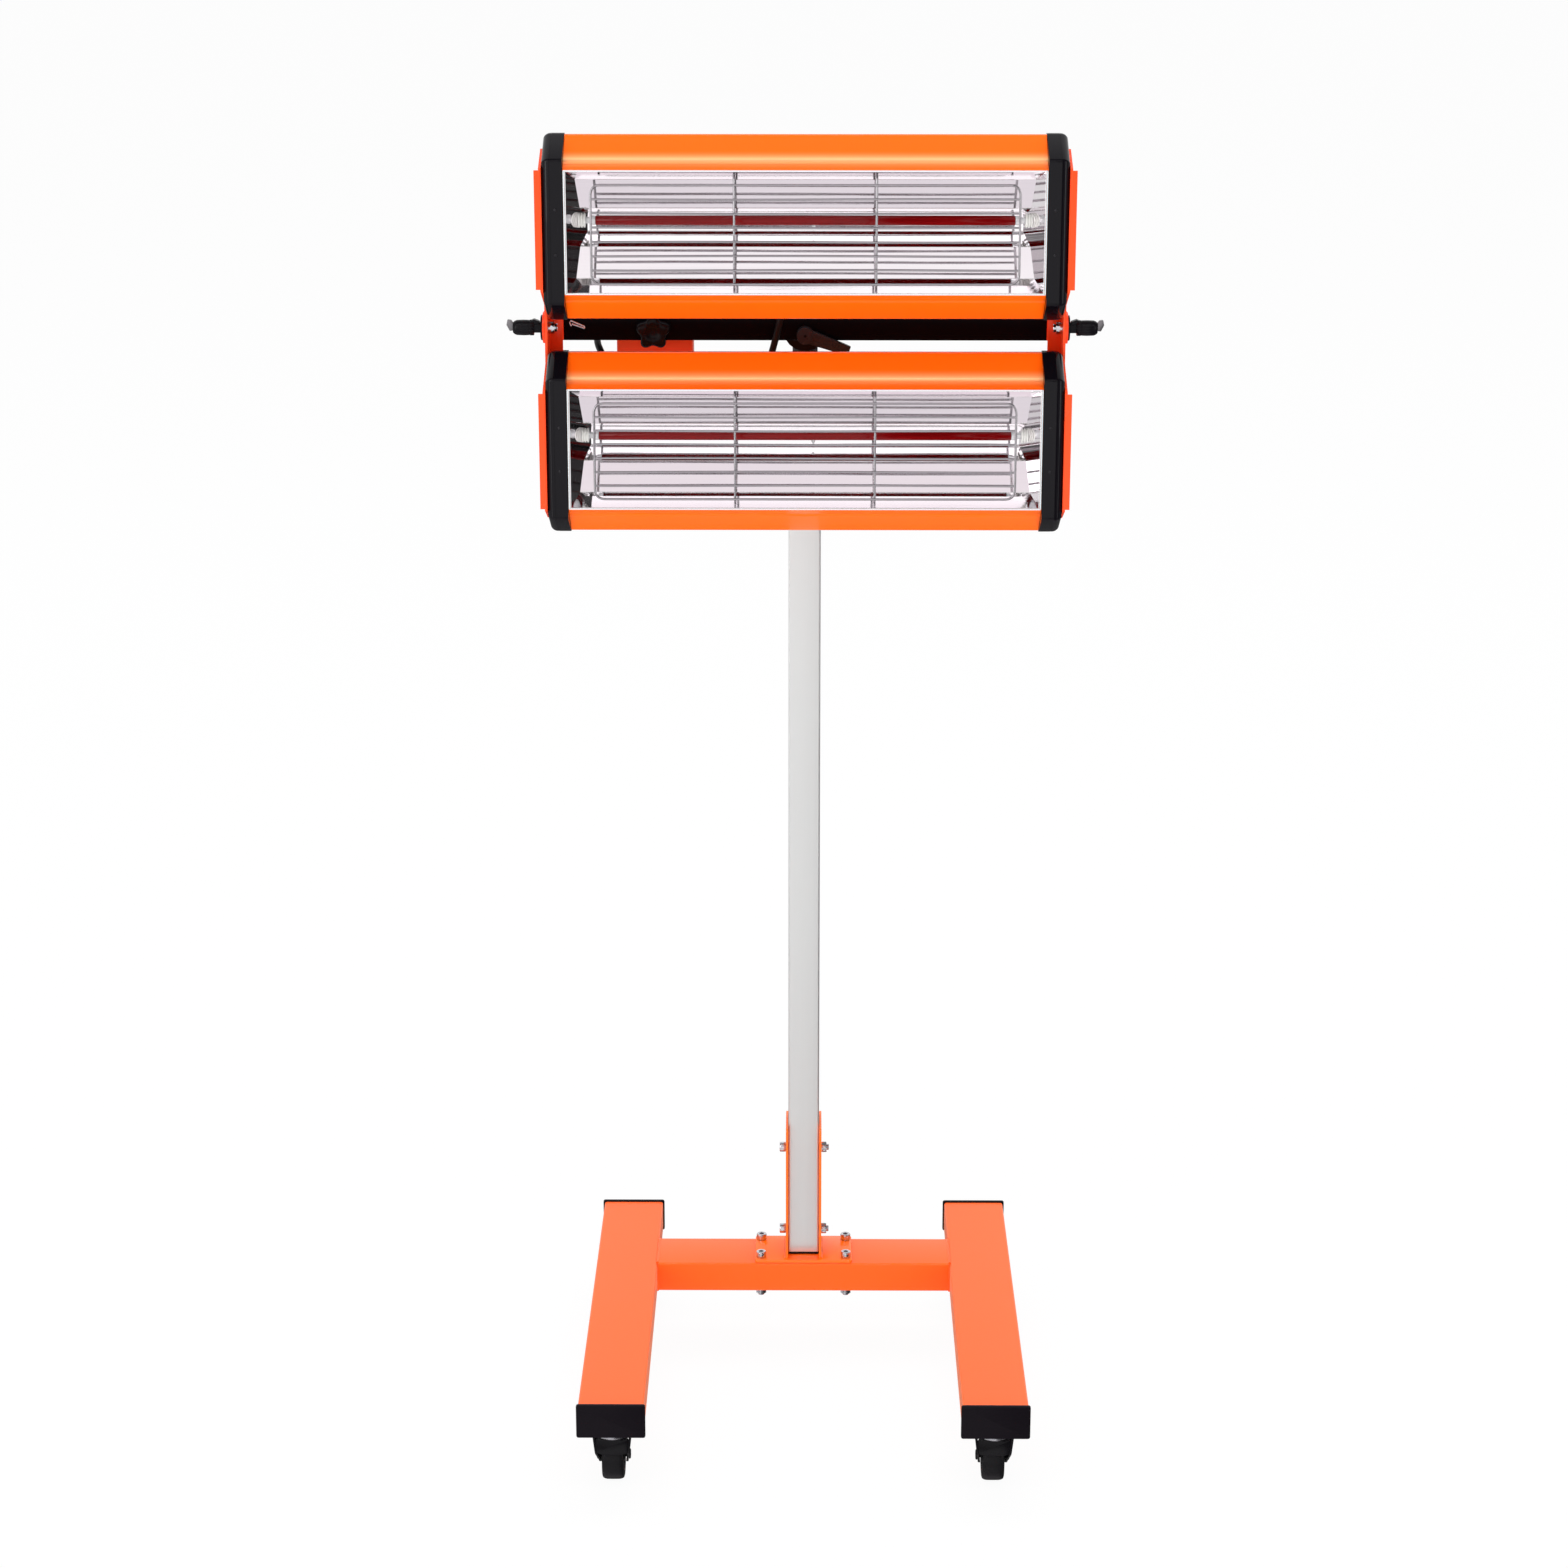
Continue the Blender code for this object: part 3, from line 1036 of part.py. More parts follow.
def build_control_box(axis):
    """Box behind the crossbar with glands, its panel, two rocker switches and the star knob."""
    centre_x = -BOX_SIDE
    left, right = centre_x - BOX_WIDTH / 2, centre_x + BOX_WIDTH / 2
    low, high = YOKE_Z - BOX_HEIGHT, YOKE_Z
    front, back = HUB_FACE, HUB_FACE + BOX_DEPTH
    knob_z = YOKE_Z - KNOB_DROP
    tray = box((left, front, low), (right, back, high))
    cavity = box((left + BOX_WALL, front + BOX_WALL, low + BOX_WALL),
                 (right - BOX_WALL, back + CUT_OVERRUN, high - BOX_WALL))
    gland_y = front + BOX_DEPTH / 2
    glands = [
        rod(GLAND_RADIUS, "X", (gland_y, YOKE_Z - drop), wall - out * BOX_WALL / 2,
            wall + out * GLAND_LENGTH, BOLT_SIDES)
        for out, wall, drop in ((1, right, UPPER_LEAD_DROP), (-1, left, LOWER_LEAD_DROP))
    ]
    bore = pin_hole(KNOB_STUD_RADIUS, "Y", (centre_x, knob_z), front - CUT_OVERRUN, front + 2 * BOX_WALL)
    seat = Vector((centre_x, front, knob_z))
    add_part("control_box", cut(join(cut(tray, cavity), *glands), bore), "red_orange_paint", seat, axis)
    panel_front = back + FIT_GAP
    panel_back = panel_front + PANEL_THICKNESS
    middle_z = (low + high) / 2
    panel = box((left, panel_front, low), (right, panel_back, high))
    places = {"upper": centre_x - SWITCH_PITCH / 2, "lower": centre_x + SWITCH_PITCH / 2}
    windows = [
        prism(rectangle((place, middle_z), (SWITCH_WIDTH + 2 * FIT_GAP, SWITCH_HEIGHT + 2 * SWITCH_SWING)),
              "Y", panel_front - CUT_OVERRUN, panel_back + CUT_OVERRUN)
        for place in places.values()
    ]
    add_part("control_panel", cut(panel, *windows), "black_plastic", seat, axis)
    pivot_y = (panel_front + panel_back) / 2
    proud = PANEL_THICKNESS / 2 + SWITCH_PROUD
    for name, place in places.items():
        outline = [(pivot_y + back_share * proud, middle_z + up_share * SWITCH_HEIGHT / 2)
                   for back_share, up_share in zip(ROCKER_BACK_SHARES, ROCKER_UP_SHARES)]
        rocker = prism(outline, "X", place - SWITCH_WIDTH / 2, place + SWITCH_WIDTH / 2)
        add_part("switch_" + name, rocker, "black_gloss", Vector((place, pivot_y, middle_z)), axis)
    knob_seat = CROSSBAR_FRONT - FIT_GAP
    collar = knob_seat - KNOB_HEIGHT / 3
    tip = knob_seat - KNOB_HEIGHT
    steps = [
        (lobed, KNOB_RADIUS - KNOB_LOBE, tip), (lobed, KNOB_RADIUS, tip + KNOB_LOBE),
        (lobed, KNOB_RADIUS, collar), (circle, KNOB_RADIUS / 2, collar),
        (circle, KNOB_RADIUS / 2, knob_seat), (circle, KNOB_STUD_RADIUS, knob_seat),
        (circle, KNOB_STUD_RADIUS, front + 2 * BOX_WALL),
    ]
    knob = loft([spread(shape(radius, KNOB_SIDES, (centre_x, knob_z)), "Y", along)
                 for shape, radius, along in steps])
    add_part("star_knob", knob, "black_plastic", Vector((centre_x, CROSSBAR_FRONT, knob_z)), axis)


def smooth_route(route, step):
    """Read points from a smooth curve through the route, whose first and last runs stay straight."""
    fine = []
    for before, start, stop, after in zip(route, route[1:], route[2:], route[3:]):
        for k in range(ROUTE_STEPS):
            t = k / ROUTE_STEPS
            fine.append((start * 2 + (stop - before) * t
                         + (before * 2 - start * 5 + stop * 4 - after) * t ** 2
                         + (start * 3 - before - stop * 3 + after) * t ** 3) / 2)
    fine.append(route[-2])
    total = sum((b - a).length for a, b in zip(fine, fine[1:]))
    count = max(2, round(total / step))
    points, walked = [fine[0]], 0.0
    for a, b in zip(fine, fine[1:]):
        walked += (b - a).length
        if walked >= total / count * len(points) and len(points) < count:
            points.append(b)
    return [route[0]] + points + [route[-2], route[-1]]


def add_lead(name, route, parent):
    """Add a round lead along its route, with filled ends."""
    curve = bpy.data.curves.new(name, "CURVE")
    curve.dimensions = "3D"
    curve.bevel_depth = LEAD_RADIUS
    curve.bevel_resolution = 2
    curve.use_fill_caps = True
    points = smooth_route(route, LEAD_STEP)
    spline = curve.splines.new("POLY")
    spline.points.add(len(points) - 1)
    for target, point in zip(spline.points, points):
        target.co = (*(point - route[0]), 1)
    curve.materials.append(bpy.data.materials["black_rubber"])
    item = bpy.data.objects.new(name, curve)
    item.parent = parent
    item.location = route[0] - parent.matrix_world.translation
    bpy.context.scene.collection.objects.link(item)


def build_leads(axis):
    """Two leads from the glands of the control box to the glands of the heads."""
    gland_y = HUB_FACE + BOX_DEPTH / 2
    reach = BOX_WIDTH / 2 + GLAND_LENGTH + FIT_GAP
    shell_end = HEAD_FACE + HEAD_DEPTH + GLAND_LENGTH + FIT_GAP
    middle = TILT_AXIS.z - HEAD_DROP
    straight = 2 * LEAD_RADIUS
    upper_start = Vector((-BOX_SIDE + reach, gland_y, YOKE_Z - UPPER_LEAD_DROP))
    lower_start = Vector((-BOX_SIDE - reach, gland_y, YOKE_Z - LOWER_LEAD_DROP))
    upper_end = Vector((UPPER_GLAND[0], shell_end, middle + HEAD_PITCH / 2 + UPPER_GLAND[1]))
    lower_end = Vector((LOWER_GLAND[0], shell_end, middle - HEAD_PITCH / 2 + LOWER_GLAND[1]))
    out = Vector((straight, 0, 0))
    behind = Vector((0, straight, 0))
    across = upper_end.x - upper_start.x
    upper_way = [
        Vector((upper_start.x + share * across, y, z))
        for share, (y, z) in zip(UPPER_LEAD_SHARES, UPPER_LEAD_ROUTE)
    ]
    lower_way = [Vector((x - BOX_SIDE, y, z)) for x, y, z in LOWER_LEAD_ROUTE]
    upper_way = [upper_start, upper_start + out] + upper_way + [upper_end + behind, upper_end]
    lower_way = [lower_start, lower_start - out] + lower_way + [lower_end + behind, lower_end]
    add_lead("lead_upper", upper_way, axis)
    add_lead("lead_lower", lower_way, axis)


def build_lamp():
    """Build the whole lamp from its base up."""
    clear_scene()
    for name in FINISHES:
        make_finish(name)
    build_base_frame()
    build_casters()
    build_post()
    build_post_head()
    arm_axis = build_swing_arm()
    roll_axis = build_yoke(arm_axis)
    build_control_box(roll_axis)
    build_leads(roll_axis)
    tilt_axis = add_empty("tilt_axis", TILT_AXIS, roll_axis)
    build_side_arms(tilt_axis)
    build_heads(tilt_axis)


build_lamp()
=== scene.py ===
"""Infrared paint curing lamp on a wheeled stand: how it looks.

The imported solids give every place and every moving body. The sections below follow the lamp as it is
put together, from the base frame on its casters up to the two heads and their leads.
"""
import math

import bmesh
import bpy
import numpy as np
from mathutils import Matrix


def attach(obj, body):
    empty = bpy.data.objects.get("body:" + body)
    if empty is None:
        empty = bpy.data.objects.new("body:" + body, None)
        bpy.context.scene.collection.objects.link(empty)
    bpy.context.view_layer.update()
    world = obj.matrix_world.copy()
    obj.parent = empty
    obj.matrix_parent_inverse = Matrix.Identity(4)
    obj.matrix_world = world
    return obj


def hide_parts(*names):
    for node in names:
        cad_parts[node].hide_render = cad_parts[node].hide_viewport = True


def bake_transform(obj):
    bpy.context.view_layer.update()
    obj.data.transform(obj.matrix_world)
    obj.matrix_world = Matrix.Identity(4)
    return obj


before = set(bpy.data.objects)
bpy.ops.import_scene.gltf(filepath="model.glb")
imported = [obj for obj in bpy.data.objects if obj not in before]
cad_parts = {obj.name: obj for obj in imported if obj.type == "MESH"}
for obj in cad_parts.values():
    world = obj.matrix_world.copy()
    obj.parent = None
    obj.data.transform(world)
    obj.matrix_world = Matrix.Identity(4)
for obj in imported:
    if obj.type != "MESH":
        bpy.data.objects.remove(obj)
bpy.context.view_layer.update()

# The studio: a pale floor under a white surround, with soft lamps above and in front. The camera
# stands a little higher than the heads and looks down at the whole lamp.
CAMERA_PLACE = (0.0, -4.110, 2.092)
CAMERA_PITCH = math.radians(72.81)
CAMERA_YAW = math.radians(0.350)
CAMERA_LENS = 79.98
SENSOR_WIDTH = 36
WHITE = (1, 1, 1, 1)
BOUNCE = (0.62, 0.62, 0.63, 1)
# Brightness of the surround from straight below to straight above, and flags across its front
LEVELS = (
    (0.0, (0.66, 0.61, 0.65)), (0.12, (0.80, 0.75, 0.79)), (0.16, 1.3), (0.245, 1.3), (0.262, 0.12),
    (0.292, 0.12), (0.31, 0.90), (0.40, 1.1), (0.58, 1.2), (0.64, (0.90, 0.83, 0.87)),
    (0.80, (0.82, 0.75, 0.79)), (0.86, 1.1), (0.93, 0.25), (1.0, 0.20))
FLAGS = (
    (0.0, 0.75), (0.10, 0.95), (0.20, 0.55), (0.26, 1.0), (0.60, 1.0), (0.63, 0.06), (0.73, 0.03),
    (0.745, 0.9), (0.76, 0.03), (0.84, 0.03), (0.855, 0.8), (0.87, 0.04), (0.96, 0.10), (1.0, 0.6))
# Where the surround's front passes into its back, and how bright the back is from there up
BACK_SPAN = (0.25, 0.50)
BACK_LEVELS = (-0.25, -0.05, 0.12)
FLOOR_HALF = 30
FLOOR_COLOUR = (0.86, 0.86, 0.86, 1)
FLOOR_ROUGHNESS = 0.85
FLOOR_SPECULAR = 0.1
FLOOR_WHITE_SHARE = 0.95


def add_node(tree, kind, values=None, **settings):
    """Add a shader node, set its settings, and set or link its inputs by name or number."""
    node = tree.nodes.new("ShaderNode" + kind)
    for key, value in settings.items():
        setattr(node, key, value)
    for key, value in (values or {}).items():
        if isinstance(value, bpy.types.NodeSocket):
            tree.links.new(value, node.inputs[key])
        else:
            node.inputs[key].default_value = value
    return node


def calc(tree, operation, *values):
    """The result of a Math node."""
    return add_node(tree, "Math", dict(enumerate(values)), operation=operation).outputs[0]


def span(tree, value, low, high, to_low=0.0, to_high=1.0):
    """A value's place between low and high, held within them and spread from to_low to to_high."""
    values = {"Value": value, "From Min": low, "From Max": high, "To Min": to_low, "To Max": to_high}
    return add_node(tree, "MapRange", values).outputs[0]


def mix(tree, share, first, second, **settings):
    """Two colours mixed, or blended in the way that the settings name."""
    values = {"Fac": share, "Color1": first, "Color2": second}
    return add_node(tree, "MixRGB", values, **settings).outputs[0]


def ramp(tree, share, stops):
    """A colour ramp with stops of place and grey or colour."""
    node = add_node(tree, "ValToRGB", {"Fac": share})
    elements = node.color_ramp.elements
    while len(elements) < len(stops):
        elements.new(0.5)
    for element, (place, colour) in zip(elements, stops):
        element.position = place
        element.color = (*colour, 1) if isinstance(colour, tuple) else (colour, colour, colour, 1)
    return node.outputs["Color"]


def show(name, data):
    """An object in the scene with its data."""
    shown = bpy.data.objects.new(name, data)
    bpy.context.scene.collection.objects.link(shown)
    return shown


camera = show("camera", bpy.data.cameras.new("camera"))
camera.data.lens = CAMERA_LENS
camera.data.sensor_width = SENSOR_WIDTH
camera.location = CAMERA_PLACE
camera.rotation_euler = (CAMERA_PITCH, 0, CAMERA_YAW)
bpy.context.scene.camera = camera
bpy.context.scene.view_settings.view_transform = "Standard"

world = bpy.data.worlds.new("studio")
bpy.context.scene.world = world
world.use_nodes = True
tree = world.node_tree
tree.nodes.clear()
toward = add_node(tree, "SeparateXYZ", {0: add_node(tree, "TexCoord").outputs["Generated"]}).outputs
level = ramp(tree, span(tree, toward["Z"], -1, 1), LEVELS)
flags = ramp(tree, span(tree, toward["X"], -1, 1), FLAGS)
front = mix(tree, 1.0, level, flags, blend_type="MULTIPLY")
behind = span(tree, toward["Y"], *BACK_SPAN)
above = span(tree, toward["Z"], *BACK_LEVELS)
surround = mix(tree, behind, front, above)
path = add_node(tree, "LightPath").outputs
seen = mix(tree, path["Is Glossy Ray"], BOUNCE, surround)
straight = calc(tree, "MAXIMUM", path["Is Camera Ray"], path["Is Transmission Ray"])
background = add_node(tree, "Background", {"Color": mix(tree, straight, seen, WHITE)})
add_node(tree, "OutputWorld", {"Surface": background.outputs[0]})

# Each lamp either lights the surfaces or only shows as a glint in the glossy ones, or both.
for name, place, aim, size, power, lights, glints in (
    ("lamp_overhead", (0.0, 2.2, 8.0), (0.0, 0.1, 0.4), (6.0, 4.0), 360, True, False),
    ("lamp_above", (0.0, -1.95, 4.1), (0.0, -0.19, 1.6), (5.0, 0.45), 40, True, False),
    ("lamp_left", (-2.6, -2.6, 2.2), (0.0, 0.0, 0.9), (1.4, 2.4), 20, True, True),
    ("lamp_right", (2.8, -2.2, 1.8), (0.0, 0.0, 0.9), (1.4, 2.4), 12, True, True),
    ("lamp_low", (0.0, -2.0, 0.3), (0.0, -0.15, 1.45), (2.6, 0.8), 24, True, False),
    ("strip_above", (0.0, -1.95, 4.1), (0.0, -0.19, 1.6), (5.0, 0.25), 85, False, True),
    ("strip_left", (-2.6, -2.4, 1.2), (0.0, 0.0, 1.1), (0.25, 2.8), 9, False, True),
    ("strip_right", (2.6, -2.4, 1.2), (0.0, 0.0, 1.1), (0.25, 2.8), 7, False, True),
):
    light = bpy.data.lights.new(name, "AREA")
    light.shape = "RECTANGLE"
    light.size, light.size_y = size
    light.energy = power
    holder = show(name, light)
    holder.location = place
    toward = np.array(aim) - np.array(place)
    holder.rotation_euler = (math.acos(-toward[2] / np.linalg.norm(toward)),
                             0, math.atan2(toward[1], toward[0]) - math.pi / 2)
    holder.visible_camera = False
    holder.visible_diffuse, holder.visible_glossy = lights, glints

floor_mesh = bpy.data.meshes.new("floor")
floor_corners = [(x * FLOOR_HALF, y * FLOOR_HALF, 0) for x, y in ((-1, -1), (1, -1), (1, 1), (-1, 1))]
floor_mesh.from_pydata(floor_corners, [], [(0, 1, 2, 3)])
floor = show("floor", floor_mesh)
floor_paint = bpy.data.materials.new("pale_floor")
floor_paint.use_nodes = True
tree = floor_paint.node_tree
shader = tree.nodes["Principled BSDF"]
shader.inputs["Base Color"].default_value = FLOOR_COLOUR
shader.inputs["Roughness"].default_value = FLOOR_ROUGHNESS
shader.inputs["Specular IOR Level"].default_value = FLOOR_SPECULAR
white = add_node(tree, "Emission", {"Color": WHITE, "Strength": 1.0})
unseen = add_node(tree, "BsdfTransparent")
path = add_node(tree, "LightPath").outputs
direct = calc(tree, "MAXIMUM", path["Is Camera Ray"], path["Is Transmission Ray"])
part = calc(tree, "MULTIPLY", direct, FLOOR_WHITE_SHARE)
lit = add_node(tree, "MixShader", {0: part, 1: shader.outputs[0], 2: white.outputs[0]})
ground = add_node(tree, "MixShader", {0: path["Is Glossy Ray"], 1: lit.outputs[0], 2: unseen.outputs[0]})
tree.links.new(ground.outputs[0], tree.nodes["Material Output"].inputs["Surface"])
floor_mesh.materials.append(floor_paint)

# Legs and cross tube: welded steel box section in satin orange powder coat. The legs lie flat on
# their casters, and the cross tube is welded between them with a fine bead round each joint.
SIDES = (("left", -1), ("right", 1))
ROWS = (("front", -1), ("rear", 1))
LEG_CENTRE = 0.2335
LEG_WIDTH = 0.080
LEG_END = 0.300
TUBE_LOW = 0.085
TUBE_TOP = 0.125
TUBE_HEIGHT = TUBE_TOP - TUBE_LOW
TUBE_MIDDLE = (TUBE_LOW + TUBE_TOP) / 2
TUBE_WALL = 0.002
TUBE_CORNER = 0.0032
CROSS_END = 0.1932
CROSS_MIDDLE = 0.143
BEAD_SINK = 0.0002
BEAD_RADIUS = 0.0014
BEAD_STEPS = 8
RIPPLE_SHARE = 0.12
RIPPLE_TURN = 1.9
SMOOTH_BELOW = 38
BEVEL_STEPS = 2
ROLLED_EDGE = 0.0006
THIN_EDGE = 0.0004
FINE_EDGE = 0.0003
LEAST_MITRE = 0.35
PEEL_HEIGHT = 0.0004
SPECK_SCALE = 130.0
SPECK_SPAN = (0.03, 0.08)
SPECK_COLOUR = (0.03, 0.02, 0.02, 1)


def unit(vectors):
    """Vectors of length one."""
    return vectors / np.maximum(np.linalg.norm(vectors, axis=-1, keepdims=True), 1e-12)


def rounded(corners, radius, steps=4, closed=True):
    """Round an outline's corners: each becomes a quadratic curve that starts and stops the tangent
    length radius / tan(half the corner's angle) away from it, but short of both sides' middles."""
    corners = np.asarray(corners, float)
    back, ahead = np.roll(corners, 1, 0) - corners, np.roll(corners, -1, 0) - corners
    shorter = np.minimum(*(np.linalg.norm(edge, axis=1, keepdims=True) for edge in (back, ahead)))
    back, ahead = unit(back), unit(ahead)
    half = np.arccos(np.clip((back * ahead).sum(1, keepdims=True), -1, 1)) / 2
    reach = np.asarray(radius, float).reshape(-1, 1) / np.maximum(np.tan(half), 1e-6)
    reach = np.minimum(reach, 0.49 * shorter)
    t = np.linspace(0, 1, steps + 1)[None, :, None]
    start, stop = (corners + back * reach)[:, None], (corners + ahead * reach)[:, None]
    curve = (1 - t) ** 2 * start + 2 * t * (1 - t) * corners[:, None] + t ** 2 * stop
    if closed:
        return curve.reshape(-1, corners.shape[1])
    return np.concatenate([corners[:1], curve[1:-1].reshape(-1, corners.shape[1]), corners[-1:]])


def rectangle(width, height, radius=0.0, centre=(0, 0), steps=4):
    """A rounded rectangle's outline, anticlockwise."""
    w, h = width / 2, height / 2
    corners = np.array([(-w, -h), (w, -h), (w, h), (-w, h)]) + centre
    return rounded(corners, radius, steps) if radius else corners


def inset(outline, distance):
    """Move a closed outline inwards by a distance along its mitred normals."""
    edge = unit(np.roll(outline, -1, 0) - outline)
    normal = np.stack([-edge[:, 1], edge[:, 0]], 1)
    middle = normal + np.roll(normal, 1, 0)
    middle = middle / np.maximum((middle * normal).sum(1, keepdims=True), LEAST_MITRE)
    return outline + middle * distance


def stand(outline, axis, along):
    """Place flat outlines across the named axis, at one place along it or one for each outline."""
    outline = np.asarray(outline, float)
    if outline.ndim == 2:
        outline = np.repeat(outline[None], len(np.atleast_1d(along)), 0)
    along = np.broadcast_to(np.atleast_1d(along)[:, None], outline.shape[:2])
    first, second = outline[..., 0], outline[..., 1]
    order = {"X": (along, first, second), "Y": (first, along, second), "Z": (first, second, along)}
    return np.stack(order[axis], -1)


def skin(grid, close_rows=False):
    """Faces of a grid of points: each joins row r and r + 1 at columns c and c + 1. The last column
    joins the first. Rows do so too where they are closed, or else flat faces close both ends."""
    rows, columns = grid.shape[:2]
    r = np.arange(rows if close_rows else rows - 1)[:, None]
    c = np.arange(columns)[None, :]
    r_next, c_next = (r + 1) % rows, (c + 1) % columns
    quads = np.stack(np.broadcast_arrays(r * columns + c, r * columns + c_next,
                                         r_next * columns + c_next, r_next * columns + c), -1)
    faces = quads.reshape(-1, 4).tolist()
    if not close_rows:
        faces += [list(range(columns)), list(range((rows - 1) * columns, rows * columns))]
    return grid.reshape(-1, 3), faces


def block(outline, axis, low, high, edge=ROLLED_EDGE):
    """A plate: its outline carried along the axis, with both rims rolled inwards by a quarter
    circle whose radius is edge."""
    low, high = min(low, high), max(low, high)
    turn = np.linspace(0, math.pi / 2, 3)
    shrink = edge * (1 - np.sin(turn))
    rise = edge * (1 - np.cos(turn))
    places = np.concatenate([low + rise, high - rise[::-1]])
    rings = np.stack([inset(outline, distance) for distance in np.concatenate([shrink, shrink[::-1]])])
    return skin(stand(rings, axis, places))


def frame_ring(outside, inside, axis, low, high):
    """An open tube: outside and inside outlines joined in a ring at both ends."""
    rings = np.stack([outside, outside, inside, inside])
    return skin(stand(rings, axis, np.array([low, high, high, low])), close_rows=True)


def tube(outline, wall, axis, low, high):
    """An open tube with an even wall."""
    return frame_ring(outline, inset(outline, wall), axis, low, high)


def wire(path, radius, sides=12, closed=False, flat=(0, 1, 0)):
    """A round wire: circles carried along a path, each across the path's direction. The frame is
    the direction crossed with a reference that the path never follows."""
    path = np.asarray(path, float)
    if closed:
        along = np.roll(path, -1, 0) - np.roll(path, 1, 0)
    else:
        along = np.gradient(path, axis=0)
    along = unit(along)
    side = unit(np.cross(along, flat))
    other = np.cross(side, along)
    angle = np.linspace(0, 2 * math.pi, sides, endpoint=False)[None, :, None]
    radius = np.broadcast_to(np.asarray(radius, float), len(path))[:, None, None]
    grid = path[:, None] + radius * (np.cos(angle) * side[:, None] + np.sin(angle) * other[:, None])
    return skin(grid, close_rows=closed)


def place_piece(name, mesh, material, body, slot, stands_for=None, sharp=SMOOTH_BELOW, edge=0.0):
    """Show a mesh as one piece that rides on its body, where it is given one. Edges sharper
    than the angle stay crisp, and edge gives them a small bevel."""
    mesh.polygons.foreach_set("use_smooth", np.ones(len(mesh.polygons), bool))
    mesh.set_sharp_from_angle(angle=math.radians(sharp))
    mesh.materials.clear()
    mesh.materials.append(material)
    piece = show(name, mesh)
    if edge:
        bevel = piece.modifiers.new("edge", "BEVEL")
        bevel.width, bevel.segments = edge, BEVEL_STEPS
        bevel.limit_method, bevel.angle_limit = "ANGLE", math.radians(sharp)
        bevel.harden_normals = True
    if body:
        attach(piece, body)
    if stands_for:
        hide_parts(stands_for)
    return piece


def add_piece(name, parts, *looks, **more):
    """Join grids of points into one piece, with its faces turned outward."""
    points, faces, count = [], [], 0
    for part_points, part_faces in parts:
        points.append(part_points)
        faces += [[index + count for index in face] for face in part_faces]
        count += len(part_points)
    mesh = bpy.data.meshes.new(name)
    mesh.from_pydata(np.concatenate(points), [], faces)
    whole = bmesh.new()
    whole.from_mesh(mesh)
    bmesh.ops.recalc_face_normals(whole, faces=whole.faces)
    whole.to_mesh(mesh)
    whole.free()
    return place_piece(name, mesh, *looks, **more)


def new_group(name, takes):
    """Start a shader group: inputs with first values, where four numbers are a colour and three a
    vector, and the place in the object."""
    group = bpy.data.node_groups.new(name, "ShaderNodeTree")
    for label, value in takes.items():
        kind = "NodeSocket" + {1: "Float", 3: "Vector", 4: "Color"}[np.size(value)]
        group.interface.new_socket(label, in_out="INPUT", socket_type=kind).default_value = value
    place = add_node(group, "TexCoord").outputs["Object"]
    return group, group.nodes.new("NodeGroupInput").outputs, place


def give(group, **sockets):
    """Finish a shader group: an output for each named socket."""
    for label in sockets:
        kind = "NodeSocket" + {"Colour": "Color", "Roughness": "Float", "Normal": "Vector"}[label]
        group.interface.new_socket(label, in_out="OUTPUT", socket_type=kind)
    target = group.nodes.new("NodeGroupOutput").inputs
    for label, socket in sockets.items():
        group.links.new(socket, target[label])
    return group


def noise(tree, place, scale, detail):
    """Soft noise from 0 to 1."""
    values = {"Vector": place, "Scale": scale, "Detail": detail}
    return add_node(tree, "TexNoise", values).outputs["Fac"]


def bump(tree, height, strength, distance, **below):
    """The normal of a surface that rises with a height."""
    values = {"Height": height, "Strength": strength, "Distance": distance, **below}
    return add_node(tree, "Bump", values).outputs[0]


def toned(tree, given, drift):
    """The group's colour, a little lighter or darker as its tone drifts."""
    tone = calc(tree, "MULTIPLY_ADD", drift, given["Tone drift"], 1.0)
    return add_node(tree, "HueSaturation", {"Color": given["Colour"], "Value": tone}).outputs["Color"]


# Powder coat flows into a fine orange peel and dries a little uneven in tone and gloss
tree, given, place = new_group("powder_coat", {
    "Colour": WHITE, "Tone drift": 0.04, "Peel": 0.05, "Peel size": 420.0, "Gloss": 0.35,
    "Gloss drift": 0.06, "Speck": 0.0})
peel = noise(tree, place, given["Peel size"], 2.0)
dots = add_node(tree, "TexVoronoi", {"Vector": place, "Scale": SPECK_SCALE}).outputs["Distance"]
dot = calc(tree, "MULTIPLY", span(tree, dots, *SPECK_SPAN, 1, 0), given["Speck"])
drift = calc(tree, "SUBTRACT", noise(tree, place, 9.0, 3.0), 0.5)
coat_group = give(
    tree, Colour=mix(tree, dot, toned(tree, given, drift), SPECK_COLOUR),
    Roughness=calc(tree, "MULTIPLY_ADD", drift, given["Gloss drift"], given["Gloss"]),
    Normal=bump(tree, peel, given["Peel"], PEEL_HEIGHT))


def finish(name, group, colour, **values):
    """A material whose group gives colour, roughness and normal to its own Principled shader. Each
    value, with _ for a space, is set on the group, or on the shader where the group has none."""
    material = bpy.data.materials.new(name)
    material.use_nodes = True
    tree = material.node_tree
    shader = tree.nodes["Principled BSDF"]
    effect = add_node(tree, "Group", node_tree=group)
    effect.inputs["Colour"].default_value = (*colour, 1)
    for label, value in values.items():
        label = label.replace("_", " ")
        owner = effect if label in effect.inputs else shader
        owner.inputs[label].default_value = value
    for label, socket in (("Colour", "Base Color"), ("Roughness", "Roughness"), ("Normal", "Normal")):
        if label in effect.outputs:
            tree.links.new(effect.outputs[label], shader.inputs[socket])
    return material


